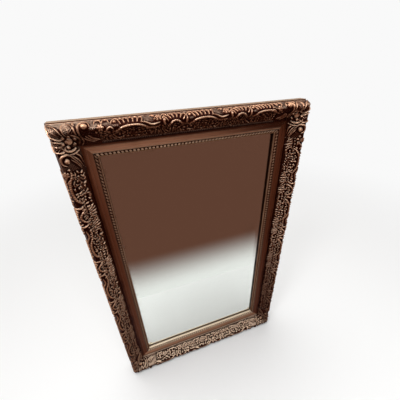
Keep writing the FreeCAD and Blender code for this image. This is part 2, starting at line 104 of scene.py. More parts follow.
class Cut(Enum):
    """How a carved stroke is rounded across its width."""

    ROUND = "round"
    LEAF = "leaf"
    RIMMED = "rimmed"


class Taper(Enum):
    """How a carved stroke's width runs from its start to its end."""

    NONE = "none"
    END = "end"
    BOTH = "both"
    LEAF = "leaf"


# Shader building


def math_method(operation: str, reflected: bool = False) -> Callable[["Socket", Any], "Socket"]:
    """Make a method of Socket that adds one Math node.

    Args:
        operation: the node's operation.
        reflected: whether the socket is the second value instead of the first.

    Returns:
        The method.
    """

    def method(socket: "Socket", other: Any) -> "Socket":
        """The Math node's result for the socket and another value."""
        first, second = (other, socket) if reflected else (socket, other)
        return socket.tree.node("Math", {"operation": operation}, {0: first, 1: second})

    return method


@dataclass(frozen=True)
class Socket:
    """A shader output whose operators add Math nodes."""

    tree: "Shader"
    link: Any

    __add__ = math_method("ADD")
    __radd__ = math_method("ADD", True)
    __sub__ = math_method("SUBTRACT")
    __rsub__ = math_method("SUBTRACT", True)
    __mul__ = math_method("MULTIPLY")
    __rmul__ = math_method("MULTIPLY", True)
    __truediv__ = math_method("DIVIDE")
    __rtruediv__ = math_method("DIVIDE", True)
    __pow__ = math_method("POWER")
    __rpow__ = math_method("POWER", True)
    least = math_method("MINIMUM")
    most = math_method("MAXIMUM")

    def size(self) -> "Socket":
        """The value without its sign."""
        return self.tree.node("Math", {"operation": "ABSOLUTE"}, {0: self})

    def ramp(self, low: float, high: float) -> "Socket":
        """A smooth step from 0 at low to 1 at high."""
        values = {"Value": self, "From Min": low, "From Max": high}
        return self.tree.node("MapRange", {"interpolation_type": "SMOOTHSTEP"}, values, "Result")


class Shader:
    """The nodes of one material or of the world."""

    def __init__(self, name: str, world: bool = False) -> None:
        """Start without nodes.

        Args:
            name: name of the new material or world.
            world: whether it is a world.
        """
        self.owner = (bpy.data.worlds if world else bpy.data.materials).new(name)
        self.owner.use_nodes = True
        self.nodes = self.owner.node_tree.nodes
        self.links = self.owner.node_tree.links
        self.nodes.clear()
        self.last = "OutputWorld" if world else "OutputMaterial"

    def node(
        self, kind: str, settings: dict[str, Any], values: dict[Any, Any], out: Union[int, str] = 0
    ) -> Socket:
        """Add one node.

        Args:
            kind: the node's type without its prefix, ShaderNode.
            settings: properties that are set first.
            values: numbers, colours or Sockets for its inputs, by name or place.
            out: the output that is wanted.

        Returns:
            The wanted output, with no link for a node that has no outputs.
        """
        made = self.nodes.new("ShaderNode" + kind)
        for key, value in settings.items():
            setattr(made, key, value)
        for key, value in values.items():
            if isinstance(value, Socket):
                self.links.new(value.link, made.inputs[key])
            else:
                made.inputs[key].default_value = value
        return Socket(self, made.outputs[out] if len(made.outputs) else None)

    def place(self) -> Socket:
        """The object coordinates."""
        return self.node("TexCoord", {}, {}, "Object")

    def axis(self, name: str) -> Socket:
        """One object coordinate, X, Y or Z."""
        return self.node("SeparateXYZ", {}, {0: self.place()}, name)

    def insets(self, half_width: float, half_height: float) -> tuple[Socket, Socket]:
        """Distances inwards from the nearer upright edge and the nearer level edge of a rectangle."""
        return half_width - self.axis("X").size(), half_height - self.axis("Z").size()

    def upward(self) -> Socket:
        """How far the surface faces up, from -1 to 1."""
        normal = self.node("NewGeometry", {}, {}, "Normal")
        return self.node("SeparateXYZ", {}, {0: normal}, "Z")

    def attribute(self, name: str) -> Socket:
        """A number stored on the piece's points."""
        return self.node("Attribute", {"attribute_name": name}, {}, "Fac")

    def noise(self, scale: float, detail: float, stretch: Point = (1.0, 1.0, 1.0)) -> Socket:
        """Noise from 0 to 1 on object coordinates.

        Args:
            scale: how many waves fit in a metre.
            detail: octaves of finer noise.
            stretch: factors on the three axes.

        Returns:
            The noise value.
        """
        mapped = self.node("Mapping", {}, {"Vector": self.place(), "Scale": stretch})
        return self.node("TexNoise", {}, {"Vector": mapped, "Scale": scale, "Detail": detail}, "Fac")

    def cells(self, scale: float) -> Socket:
        """Distance to scattered points, from 0 to about 1, on object coordinates."""
        return self.node("TexVoronoi", {}, {"Vector": self.place(), "Scale": scale}, "Distance")

    def mix(self, share: Any, first: Any, second: Any) -> Socket:
        """Blend two colours.

        Args:
            share: 0 for the first colour, 1 for the second.
            first: colour or Socket.
            second: colour or Socket.

        Returns:
            The blended colour.
        """
        colours = [value if isinstance(value, Socket) else (*value, 1.0) for value in (first, second)]
        return self.node("Mix", {"data_type": "RGBA"}, {0: share, 6: colours[0], 7: colours[1]}, 2)

    def bump(self, height: Socket, distance: float, strength: float) -> Socket:
        """A normal bent by a height, of so many metres for a height of 1, to a share of the effect."""
        return self.node("Bump", {}, {"Height": height, "Distance": distance, "Strength": strength})

    def close(self, shader: Socket) -> bpy.types.ID:
        """Join a shader to the output and give back the finished material or world."""
        self.node(self.last, {}, {"Surface": shader})
        return self.owner

    def finish(self, values: dict[str, Any]) -> bpy.types.Material:
        """Add the principled shader with some of its inputs, and the output."""
        return self.close(self.node("BsdfPrincipled", {}, values))


@dataclass(frozen=True)
class BronzedOrnament:
    """Red-brown bronze lacquer: dark in its hollows, rubbed on what stands out, paler with dust and painted
    top light on what faces up, darker with painted shade below.
    """

    half_width: float
    half_height: float
    name: str = "bronzed_ornament"
    hollow: Colour = (0.018, 0.0024, 0.0009)
    # Painted shade colour for what faces down, for the lower stiles and for the bottom rail's lower edge
    under: Colour = (0.024, 0.0036, 0.0014)
    ground: Colour = (0.105, 0.028, 0.0125)
    raised: Colour = (0.25, 0.080, 0.038)
    faced: Colour = (0.25, 0.100, 0.054)
    # Pale tone for dust and painted top light on what faces up
    dust_and_top_light_tone: Colour = (0.68, 0.50, 0.375)
    bronze: Colour = (0.72, 0.405, 0.245)
    # Painted light: the bared bronze's lit tone on what faces up
    pale: Colour = (0.95, 0.74, 0.55)
    rub_start: float = 0.42
    rub_full: float = 1.15
    roughness: float = 0.26
    grain: float = 900.0
    fleck_scale: float = 130.0
    mitre_blend: float = 0.03
    # Height and blend of the painted shade along the bottom rail's lower edge, by the floor
    floor_shade_height: float = 0.0250
    floor_shade_blend: float = 0.005

    def make(self) -> bpy.types.Material:
        """Build the material.

        Returns:
            The material, driven by the piece's relief, wear and face attributes and by how far it faces up.
        """
        s = Shader(self.name)
        relief, wear, face = (s.attribute(key) for key in ("relief", "wear", "face"))
        up, x, z = s.upward(), s.axis("X"), s.axis("Z")
        leftward, downward = 0.0 - x, 0.0 - z
        across, inward = s.insets(self.half_width, self.half_height)
        rail = (across - inward).ramp(-self.mitre_blend, self.mitre_blend)
        patches = s.noise(26.0, 5.0)
        fine = s.noise(310.0, 3.0)
        spots = s.noise(self.fleck_scale, 2.0).ramp(0.40, 0.62) * 0.65 + 0.35
        # Lacquer, from the hollows to what stands out
        depth = (relief * 0.9 + wear * 0.8 + (patches - 0.5) * 0.30).ramp(-0.35, 0.45)
        lacquer = s.mix(depth, self.hollow, self.ground)
        lifted = (relief * 0.75 + wear * 0.65 + face * 0.15 + (patches - 0.5) * 0.25).ramp(0.20, 1.00)
        toned = s.mix(lifted, lacquer, s.mix(face, self.raised, self.faced))
        # Painted shade: what faces down turns towards the under colour
        shaded = s.mix(up.ramp(-0.75, 0.10) * 0.85 + 0.15, self.under, toned)
        # Dust and painted top light: a pale tone on what faces up, less of it in pits and on the outer face
        pits = 1.0 - (0.0 - wear).ramp(0.05, 0.45)
        open_face = 1.0 - face * (1.05 - spots * 0.5)
        dust_and_top_light = up.ramp(0.12, 0.85) * (0.42 + patches * 0.6) * open_face * pits
        # Painted shade: darker towards the bottom of the stiles, more so on the right stile
        painted_shade_low = downward.ramp(-0.15, 0.45) * (1.0 - rail) * (0.66 + x.ramp(-0.1, 0.3) * 0.20)
        # Painted shade along the bottom rail's lower edge, by the floor
        foot = (self.floor_shade_height - self.half_height - z).ramp(0.0, self.floor_shade_blend)
        # The two painted shades together: they thin the pale tone and the bared bronze, and darken the colour
        low = painted_shade_low.most(foot * 0.95)
        # Painted light on the top left corner: more of the pale tone and of the bared bronze there
        painted_light_top_left = leftward.ramp(0.22, 0.36) * z.ramp(0.42, 0.56)
        settled = dust_and_top_light + painted_light_top_left * pits * up.ramp(-0.4, 0.3) * 0.22
        base = s.mix(settled * (1.0 - low * 0.6), shaded, self.dust_and_top_light_tone)
        # Bronze rubbed bare on what stands out, with painted light: more of it, and paler, on what faces up,
        # on the left stile and on the top left corner
        lit = up.ramp(0.15, 0.75) * (1.0 - face) * (rail * 0.8 + 0.2)
        balls = relief.ramp(0.95, 1.2)
        # Painted light: more bared bronze on the left stile and the top left corner
        rubbed = painted_light_top_left * 0.28 + leftward.ramp(0.2, 0.3) * (1.0 - rail) * 0.16
        tops = wear + relief * 0.30 + relief.ramp(0.8, 1.2) * 0.35 + lit * 0.60 + rubbed
        rub = (tops + (patches - 0.5) * 0.35 + (fine - 0.5) * 0.40).ramp(self.rub_start, self.rub_full)
        flecks = spots.most(balls).most(lit * 0.80)
        # Painted shade on the outer face, less where it faces up
        shade = 1.0 - face * (1.0 - up.ramp(0.05, 0.55)) * 0.70
        # Painted top light: more bared bronze on upper sides than on lower ones
        worn = rub * flecks * shade * (up.ramp(-0.45, 0.55) * 0.88 + 0.12).most(balls * 0.72)
        metal = s.mix(lit, self.bronze, self.pale)
        bared = s.mix(worn * (1.0 - low * 0.45), base, metal)
        height = s.cells(self.grain) * 0.35 * (1.0 - relief.ramp(0.05, 0.35)) + fine * 0.35
        return s.finish(
            {
                # Painted shade low on the stiles and along the bottom rail's lower edge
                "Base Color": s.mix(low * 0.75, bared, self.under),
                "Metallic": 0.50 - dust_and_top_light * 0.35,
                "Roughness": self.roughness + (fine - 0.5) * 0.14 + dust_and_top_light * 0.25,
                "Normal": s.bump(height, 0.0005, 0.6),
                "Specular IOR Level": 0.05,
                "Specular Tint": (0.50, 0.34, 0.25, 1.0),
            }
        )


@dataclass(frozen=True)
class BronzedTimber:
    """The plain parts of the moulding: red-brown lacquer, a frieze paler on the rails as painted light, a
    pale outer side.
    """

    half_width: float
    half_height: float
    name: str = "bronzed_timber"
    # Painted shade colour for the lip at the glass
    gap: Colour = (0.010, 0.0030, 0.0014)
    dark: Colour = (0.036, 0.0075, 0.0032)
    toned: Colour = (0.085, 0.022, 0.0095)
    frieze: Colour = (0.108, 0.029, 0.0130)
    # Painted light: the frieze's lit tone on the rails
    faded: Colour = (0.44, 0.200, 0.115)
    # Brighter tone of the inner fillet
    rubbed: Colour = (0.40, 0.20, 0.12)
    side: Colour = (0.40, 0.27, 0.18)
    stained: Colour = (0.24, 0.14, 0.085)
    back: Colour = (0.33, 0.215, 0.125)
    back_grain: Colour = (0.22, 0.13, 0.07)
    mitre_blend: float = 0.002
    fillet: float = 0.0836
    fillet_half: float = 0.0024
    frieze_start: float = 0.0670
    lip_start: float = 0.0985
    side_reach: float = 0.0022
    side_depth: float = 0.0268
    back_depth: float = 0.0006

    def make(self) -> bpy.types.Material:
        """Build the material.

        Returns:
            The material, laid out by distance from the frame's outer edge.
        """
        s = Shader(self.name)
        up, x, z = s.upward(), s.axis("X"), s.axis("Z")
        leftward, depth = 0.0 - x, 0.0 - s.axis("Y")
        across, inward = s.insets(self.half_width, self.half_height)
        offset = across.least(inward)
        rail = (across - inward).ramp(-self.mitre_blend, self.mitre_blend)
        patches = s.noise(18.0, 5.0)
        fine = s.noise(260.0, 4.0)
        streak = s.noise(60.0, 4.0, (1.0, 3.0, 1.0))
        # Lacquer, and the frieze with painted light on the rails and the upper left stile, and painted shade
        # towards the right of the rails
        base = s.mix(patches.ramp(0.32, 0.68), self.dark, self.toned)
        upper = z.ramp(-0.1, 0.1)
        # Painted shade: grows towards the right, more on the top rail, and a little by the top left corner;
        # it takes away the painted light
        frieze_shade = x.ramp(-0.22, 0.34) * (0.42 + upper * 0.52)
        frieze_shade = frieze_shade.most(leftward.ramp(0.24, 0.34) * upper * 0.45)
        # Painted light on the frieze of the upper left stile
        stile = leftward.ramp(0.2, 0.3) * (0.04 + z.ramp(0.3, 0.55) * 0.14)
        fade = (rail * (0.66 + patches * 0.6) * (1.0 - frieze_shade)).most(stile)
        paled = s.mix(fade, self.frieze, self.faded)
        # Painted shade: the rails' frieze turns dark towards the right
        plain = s.mix(rail * frieze_shade.ramp(0.5, 1.0) * 0.85, paled, self.dark)
        clouds = 0.80 + patches * 0.3 + (fine - 0.5) * 0.3
        band = (offset - self.frieze_start).ramp(-0.0040, 0.0075) * clouds
        flat = s.mix(band.ramp(0.0, 1.0), base, plain)
        # Dust and painted top light: what faces up turns to the pale side tone
        timber_dust_and_top_light = s.mix(up.ramp(0.1, 0.8) * (0.4 + patches * 0.5), flat, self.side)
        # The brighter fillet, stronger on the rails, the outer side, the gap at the glass darkened as painted
        # shade, and the bare back
        rub = (1.0 - (offset - self.fillet).size() / self.fillet_half).ramp(0.0, 0.6) * (0.25 + rail * 0.75)
        worn = rub * (0.35 + patches * 0.60) + (fine - 0.5) * 0.20
        front = s.mix(worn.ramp(0.05, 0.95), timber_dust_and_top_light, self.rubbed)
        raw = s.mix(streak.ramp(0.38, 0.72), self.side, self.stained)
        edge = (self.side_reach - offset).ramp(0.0, 0.0008) * (self.side_depth - depth).ramp(0.0, 0.0006)
        # Painted shade: the lip at the glass turns to the gap colour
        lip = (offset - self.lip_start).ramp(0.0, 0.0005)
        dressed = s.mix(lip * 0.9, s.mix(edge * (0.65 + patches * 0.35), front, raw), self.gap)
        grain = s.noise(22.0, 6.0, (1.0, 1.0, 0.08))
        bare = s.mix(grain.ramp(0.3, 0.75), self.back, self.back_grain)
        hind = (self.back_depth - depth).ramp(0.0, 0.0004)
        return s.finish(
            {
                "Base Color": s.mix(hind, dressed, bare),
                "Metallic": 0.15 * (1.0 - edge) * (1.0 - hind),
                "Roughness": 0.34 + (fine - 0.5) * 0.16 + (edge + hind) * 0.25,
                "Normal": s.bump(fine * 0.5 + streak * 0.6, 0.0004, 0.5),
                "Specular IOR Level": 0.05,
                "Specular Tint": (0.50, 0.34, 0.25, 1.0),
            }
        )


@dataclass(frozen=True)
class GiltStrip:
    """The sight strip: dark between its leaf tips, with a smooth bronze bead next to the glass, pale gilt
    where it faces up as painted top light.
    """

    half_width: float
    half_height: float
    name: str = "bronzed_bead"
    hollow: Colour = (0.024, 0.0045, 0.0018)
    ground: Colour = (0.115, 0.040, 0.020)
    bronze: Colour = (0.95, 0.62, 0.40)
    # The bead's tone, and the pale gilt that it turns to where it faces up, which is painted top light
    bead: Colour = (0.25, 0.115, 0.060)
    gilt: Colour = (1.0, 0.82, 0.60)
    mitre_blend: float = 0.002

    def make(self) -> bpy.types.Material:
        """Build the material.

        Returns:
            The material, driven by the piece's relief, wear and gilt attributes and by how far it faces up.
        """
        s = Shader(self.name)
        relief, wear, gilt = (s.attribute(key) for key in ("relief", "wear", "gilt"))
        up = s.upward()
        across, inward = s.insets(self.half_width, self.half_height)
        rail = (across - inward).ramp(-self.mitre_blend, self.mitre_blend)
        patches = s.noise(30.0, 4.0)
        fine = s.noise(420.0, 3.0)
        base = s.mix((relief + wear * 0.6).ramp(0.0, 0.7), self.hollow, self.ground)
        rub = (wear * 0.9 + relief * 0.35 + (patches - 0.5) * 0.35 + (fine - 0.5) * 0.25).ramp(0.15, 0.90)
        tip = s.mix(rub * (0.38 + rail * 0.62), base, self.bronze)
        # Painted top light: the bead turns to pale gilt where it faces up
        rounded = s.mix(up.ramp(-0.1, 0.7), self.bead, self.gilt)
        shine = gilt * (0.75 + patches * 0.4 + (fine - 0.5) * 0.12) * (0.40 + rail * 0.60)
        # Painted top light: leaf tips that face up on the rails turn to gilt
        glow = up.ramp(0.15, 0.60) * (wear + 0.6).ramp(0.0, 0.6) * rail * 0.40
        return s.finish(
            {
                "Base Color": s.mix(shine.ramp(0.0, 1.0), s.mix(glow, tip, self.gilt), rounded),
                "Metallic": (0.50 - gilt * 0.25) * (wear + 1.0).ramp(0.0, 0.4),
                "Roughness": 0.32 + (fine - 0.5) * 0.14 - gilt * 0.12,
                "Normal": s.bump(fine, 0.0002, 0.5),
                "Specular IOR Level": 0.05,
            }
        )


@dataclass(frozen=True)
class PlateGlass:
    """Clear polished glass with faint smears."""

    name: str = "plate_glass"
    tint: Colour = (0.965, 0.985, 0.975)
    smeared: Colour = (0.93, 0.955, 0.945)

    def make(self) -> bpy.types.Material:
        """Build the material.

        Returns:
            The clear glass.
        """
        s = Shader(self.name)
        smear = s.noise(7.0, 5.0, (1.0, 1.0, 0.5)).ramp(0.60, 0.85)
        return s.finish(
            {
                "Base Color": s.mix(smear, self.tint, self.smeared),
                "Roughness": smear * 0.012,
                "IOR": 1.5,
                "Transmission Weight": 1.0,
            }
        )


@dataclass(frozen=True)
class SilverCoat:
    """Bright silvering with slight tarnish towards its edges."""

    half_width: float
    half_height: float
    name: str = "silver_coat"
    bright: Colour = (0.93, 0.93, 0.91)
    tarnish: Colour = (0.55, 0.48, 0.38)
    reach: float = 0.022

    def make(self) -> bpy.types.Material:
        """Build the material.

        Returns:
            The mirror coat.
        """
        s = Shader(self.name)
        across, inward = s.insets(self.half_width, self.half_height)
        old = (self.reach - across.least(inward)).ramp(0.0, self.reach) * s.noise(55.0, 6.0).ramp(0.52, 0.75)
        return s.finish(
            {
                "Base Color": s.mix(old, self.bright, self.tarnish),
                "Metallic": 1.0,
                "Roughness": old * 0.15,
            }
        )


@dataclass(frozen=True)
class GrainedWood:
    """Plain wood with a long grain."""

    name: str
    light: Colour
    dark: Colour
    along: Point = (1.0, 1.0, 0.06)
    scale: float = 60.0

    def make(self) -> bpy.types.Material:
        """Build the material.

        Returns:
            The grained wood.
        """
        s = Shader(self.name)
        grain = s.noise(self.scale, 6.0, self.along)
        pores = s.noise(self.scale * 9.0, 2.0, self.along)
        figure = (grain * 0.75 + pores * 0.25).ramp(0.36, 0.66)
        return s.finish(
            {
                "Base Color": s.mix(figure, self.light, self.dark),
                "Roughness": 0.62 + (pores - 0.5) * 0.2,
                "Normal": s.bump(figure, 0.0004, 0.5),
            }
        )


@dataclass(frozen=True)
class WornMetal:
    """Sheet or turned metal with scratches and dulled patches."""

    name: str
    bright: Colour
    dull: Colour
    roughness: float = 0.34

    def make(self) -> bpy.types.Material:
        """Build the material.

        Returns:
            The metal.
        """
        s = Shader(self.name)
        scratches = s.noise(900.0, 3.0, (0.06, 1.0, 1.0))
        patches = s.noise(120.0, 4.0)
        share = (patches * 0.7 + scratches * 0.3).ramp(0.40, 0.66)
        return s.finish(
            {
                "Base Color": s.mix(share, self.bright, self.dull),
                "Metallic": 1.0,
                "Roughness": self.roughness + (scratches - 0.5) * 0.2 + share * 0.12,
                "Normal": s.bump(scratches, 0.00008, 0.6),
            }
        )


@dataclass(frozen=True)
class SoftMatt:
    """A matt material of two close tones, such as rubber or card."""

    name: str
    first: Colour
    second: Colour
    scale: float
    roughness: float = 0.85

    def make(self) -> bpy.types.Material:
        """Build the material.

        Returns:
            The matt material.
        """
        s = Shader(self.name)
        speck = s.noise(self.scale, 5.0)
        return s.finish(
            {
                "Base Color": s.mix(speck.ramp(0.35, 0.68), self.first, self.second),
                "Roughness": self.roughness + (speck - 0.5) * 0.15,
                "Normal": s.bump(speck, 0.0003, 0.5),
            }
        )


# Lines and grids


def unit(values: Array) -> Array:
    """Hold values between 0 and 1."""
    return np.clip(values, 0.0, 1.0)


def eased(values: Array) -> Array:
    """A smooth step on values held between 0 and 1: three times the square less twice the cube."""
    return unit(values) ** 2 * (3.0 - 2.0 * unit(values))


def lengths_of(points: Array) -> Array:
    """Distance of each point along a line."""
    return np.concatenate([[0.0], np.cumsum(np.hypot(*np.diff(points, axis=0).T))])


def spaced(points: Array, count: int) -> Array:
    """Resample a line of points, one per row, at so many even steps of its own length."""
    run = lengths_of(points)
    return np.stack([np.interp(np.linspace(0.0, run[-1], count), run, column) for column in points.T], axis=1)


def normals_of(points: Array) -> Array:
    """Unit normals of a section line, forwards where it runs inwards: the tangent turned a quarter.

    Args:
        points: the line's points, one per row.

    Returns:
        One normal per point.
    """
    tangent = np.gradient(points, axis=0)
    tangent = tangent / np.linalg.norm(tangent, axis=1)[:, None]
    return np.stack([-tangent[:, 1], tangent[:, 0]], axis=1)


def bowed(start: Array, end: Array, bow: float, count: int) -> Array:
    """Sample a shallow arc: the chord's sine and cosine of an angle that runs evenly from end to end.

    Args:
        start: first point, as offset and depth.
        end: last point.
        bow: how far the middle stands off the chord, forwards when the arc runs inwards.
        count: number of points.

    Returns:
        The points, one per row.
    """
    chord = end - start
    length = float(np.hypot(*chord))
    normal = np.array([-chord[1], chord[0]]) / length
    half = 2.0 * math.atan2(2.0 * bow, length)
    turn = np.linspace(-half, half, count)
    share = 0.5 + 0.5 * np.sin(turn) / math.sin(half)
    rise = 0.5 * length * (np.cos(turn) - math.cos(half)) / math.sin(half)
    return start + share[:, None] * chord + rise[:, None] * normal


def smooth_line(points: Spots, count: int = 36) -> Array:
    """A smooth line through a few points: each stretch is the usual cubic through four neighbours.

    Args:
        points: points to pass through.
        count: number of points wanted.

    Returns:
        The line's points.
    """
    spots = np.array(points, dtype=float)
    padded = np.concatenate([[2 * spots[0] - spots[1]], spots, [2 * spots[-1] - spots[-2]]])
    place = np.linspace(0.0, len(spots) - 1.0, count)
    index = np.minimum(place.astype(int), len(spots) - 2)
    t = (place - index)[:, None]
    a, b, c, d = (padded[index + k] for k in range(4))
    return 0.5 * (2 * b + (c - a) * t + (2 * a - 5 * b + 4 * c - d) * t**2 + (3 * b - a - 3 * c + d) * t**3)


def placed(x: float, spots: Spots, hand: int = 1) -> Spots:
    """Shift a drawing's points along the strip, mirrored where the hand is -1."""
    return [(x + hand * along, across) for along, across in spots]


def blurred(values: Array, reach: int) -> Array:
    """Average a grid over square windows three times, with its edges held.

    Args:
        values: the grid.
        reach: half window in cells.

    Returns:
        The blurred grid.
    """
    result = values
    span = 2 * reach + 1
    for axis in (0, 1, 0, 1, 0, 1):
        pad = [(0, 0), (0, 0)]
        pad[axis] = (reach + 1, reach)
        total = np.cumsum(np.pad(result, pad, mode="edge"), axis=axis)
        upper = np.take(total, np.arange(span, total.shape[axis]), axis=axis)
        lower = np.take(total, np.arange(0, total.shape[axis] - span), axis=axis)
        result = (upper - lower) / span
    return result


def wear_of(height: Array, reach: int, full: float) -> Array:
    """How far a grid stands out of its surroundings: height less its blurred self, over a full height."""
    return np.clip((height - blurred(height, reach)) / full, -1.0, 1.0)


@dataclass(frozen=True)
class MouldingSection:
    """The moulding's section in metres: offset inwards from the outer edge, depth forwards from the back."""

    side_depth: float = 0.027
    margin: float = 0.003
    foot: float = 0.0035
    reach: float = 0.062
    frieze_depth: float = 0.0285
    rim: float = 0.0025
    band: float = 0.006
    crest_offset: float = 0.018
    crest_half: float = 0.006
    shoulder: float = 0.060
    crest_rise: float = 0.004
    seat_inset: float = 0.002
    face_bulge: float = 0.0015
    hollow_sag: float = 0.004
    bead_start: float = 0.086
    bead_end: float = 0.100
    bead_seat: float = 0.0225
    sight_seat: float = 0.013
    bead_thick: float = 0.004
    sight_thick: float = 0.003
    bead_bulge: float = 0.0015
    arc_points: int = 60
    crest_points: int = 40

    def band_front(self, count: int) -> Array:
        """The ornament's front: arcs over the outer face, the crest and the hollow.

        Args:
            count: number of points.

        Returns:
            The points at even steps, from the outer foot inwards.
        """
        foot = np.array([self.margin, self.side_depth])
        outer = np.array([self.crest_offset - self.crest_half, self.shoulder])
        inner = np.array([self.crest_offset + self.crest_half, self.shoulder])
        end = np.array([self.reach, self.frieze_depth + self.rim])
        arcs = [
            bowed(foot, outer, self.face_bulge, self.arc_points),
            bowed(outer, inner, self.crest_rise, self.crest_points)[1:],
            bowed(inner, end, -self.hollow_sag, self.arc_points)[1:],
        ]
        return spaced(np.concatenate(arcs), count)

    def band_seat(self) -> Array:
        """The line under the ornament.

        Returns:
            Its points, from its inner foot back to its outer foot.
        """
        depth = self.shoulder - self.band
        return np.array(
            [
                [self.reach, self.frieze_depth],
                [0.5 * (self.reach + self.crest_offset), 0.5 * (self.frieze_depth + depth) - self.hollow_sag],
                [self.crest_offset + self.crest_half - self.seat_inset, depth],
                [self.crest_offset - self.crest_half + self.seat_inset, depth],
                [self.margin + self.foot, self.side_depth],
            ]
        )

    def bead_front(self, count: int) -> Array:
        """The front of the sight strip: one arc.

        Args:
            count: number of points.

        Returns:
            The points at even steps, from its outer edge to the glass.
        """
        outer = np.array([self.bead_start, self.bead_seat + self.bead_thick])
        inner = np.array([self.bead_end, self.sight_seat + self.sight_thick])
        return spaced(bowed(outer, inner, self.bead_bulge, self.arc_points), count)

    def bead_seat_line(self) -> Array:
        """The line under the sight strip, from the glass back to its outer edge."""
        return np.array([[self.bead_end, self.sight_seat], [self.bead_start, self.bead_seat]])


# Carved relief


@dataclass
class Carving:
    """Relief heights over a strip, in millimetres, on grids of distance along and across it.

    Args:
        along: distance along the strip at each grid point.
        across: developed distance across it at each grid point.
    """

    along: Array
    across: Array
    height: Array = field(init=False)
    ground: Array = field(init=False)

    def __post_init__(self) -> None:
        """Start from a flat ground."""
        self.height = np.zeros_like(self.along)
        self.ground = np.zeros_like(self.along)

    def settle(self, depth: Array) -> None:
        """Lower the ground, and what stands on it so far, by a depth at each grid point."""
        self.ground = self.ground - depth
        self.height = self.height - depth

    def window(self, low: float, high: float) -> slice:
        """The rows that reach between two distances along the strip."""
        hit = np.nonzero((self.along.max(axis=1) >= low) & (self.along.min(axis=1) <= high))[0]
        return slice(int(hit[0]), int(hit[-1]) + 1) if hit.size else slice(0, 0)

    def lift(self, values: Array, rows: slice = slice(None), inside: Any = True) -> None:
        """Raise rows of the strip to new heights over its ground, where they are higher and inside a mask."""
        higher = np.maximum(self.height[rows], self.ground[rows] + values)
        self.height[rows] = np.where(inside, higher, self.height[rows])

    def dome(self, x: float, y: float, radius: float, height: float) -> None:
        """Raise a ball: the upper half of an ellipsoid.

        Args:
            x: its middle along the strip.
            y: its middle across the strip.
            radius: its radius.
            height: its height.
        """
        rows = self.window(x - radius, x + radius)
        away = np.hypot(self.along[rows] - x, self.across[rows] - y) / radius
        self.lift(height * np.sqrt(unit(1.0 - away**2)), rows, away < 1.0)

    def berries(self, spots: Spots, radius: float, height: float) -> None:
        """Raise a ball of the same radius and height at each spot."""
        for x, y in spots:
            self.dome(x, y, radius, height)

    def stroke(
        self,
        points: Spots,
        width: float,
        height: float,
        taper: Taper = Taper.NONE,
        cut: Cut = Cut.ROUND,
        ribs: float = 0.0,
    ) -> None:
        """Raise a stroke along a smooth line: a rounded bar by distance from the line.

        Args:
            points: points that the line passes through.
            width: half width at its widest.
            height: height at its highest.
            taper: how the width runs along it.
            cut: how it is rounded across.
            ribs: length of one rib along a ribbed or leaf stroke, or zero.
        """
        line = smooth_line(points)
        rows = self.window(float(line[:, 0].min()) - width, float(line[:, 0].max()) + width)
        x, y = self.along[rows], self.across[rows]
        best = np.full(x.shape, np.inf)
        share = np.zeros(x.shape)
        run = lengths_of(line)
        for k in range(len(line) - 1):
            step = line[k + 1] - line[k]
            size = float(step @ step) + 1e-12
            t = unit(((x - line[k, 0]) * step[0] + (y - line[k, 1]) * step[1]) / size)
            gap = np.hypot(x - line[k, 0] - t * step[0], y - line[k, 1] - t * step[1])
            near = gap < best
            best = np.where(near, gap, best)
            share = np.where(near, (run[k] + t * (run[k + 1] - run[k])) / run[-1], share)
        profile = {
            Taper.NONE: lambda q: np.ones_like(q),
            Taper.END: lambda q: 1.0 - 0.72 * q**1.4,
            Taper.BOTH: lambda q: 0.22 + 0.78 * np.sin(np.pi * q) ** 0.8,
            Taper.LEAF: lambda q: np.sin(np.pi * unit(q) ** 0.72) ** 0.85 + 0.04,
        }[taper](share)
        passed = share * run[-1]
        reach = width * profile
        if cut is Cut.LEAF and ribs > 0.0:
            reach = reach * (0.70 + 0.30 * np.abs(np.cos(np.pi * (passed - 0.5 * best) / ribs)) ** 0.6)
        away = best / np.maximum(reach, 1e-6)
        form = unit(1.0 - away**1.5) ** 0.8
        if cut is Cut.ROUND and ribs > 0.0:
            form = form * (0.84 + 0.16 * np.cos(2.0 * np.pi * (passed + 0.6 * best) / ribs))
        if cut is Cut.LEAF:
            vein = np.cos(2.0 * np.pi * (passed - 0.75 * best) / max(ribs, 3.0))
            midrib = np.exp(-((away / 0.16) ** 2))
            form = form**0.8 * (0.86 + 0.14 * vein) - 0.30 * midrib * (1.0 - share)
        if cut is Cut.RIMMED:
            ridge = np.exp(-(((away - 0.84) / 0.13) ** 2))
            spokes = 0.14 + 0.18 * np.cos(2.0 * np.pi * (passed - 0.7 * best) / max(ribs, 3.0))
            midrib = 0.50 * np.exp(-((away / 0.12) ** 2)) * (1.0 - 0.6 * share)
            form = np.maximum(np.maximum(ridge, spokes), midrib) * np.sqrt(unit(1.0 - away**6))
        self.lift(height * (0.55 + 0.45 * profile) * form, rows, away < 1.0)

    def scallops(
        self, x: float, y: float, inner: float, outer: float, spread: float, width: float, height: float
    ) -> None:
        """Raise five hollow scallops about a pivot: each is a thin rim that runs out, round and back.

        Args:
            x: pivot along the strip.
            y: pivot across the strip.
            inner: radius where the rims start.
            outer: radius of their tops.
            spread: half angle of the row in radians.
            width: half width of a rim.
            height: height of a rim.
        """
        count = 5
        half = spread / count
        left = [(-0.94, 0.0), (-0.90, 0.58), (-0.56, 0.90)]
        steps = [*left, (0.0, 1.0), *[(-turn, share) for turn, share in reversed(left)]]
        for k in range(count):
            middle = (2 * k + 1) * half - spread
            rim = []
            for turn, share in steps:
                angle = middle + turn * half
                radius = inner + (outer - inner) * share
                rim.append((x + radius * math.sin(angle), y - radius * math.cos(angle)))
            self.stroke(rim, width, height)

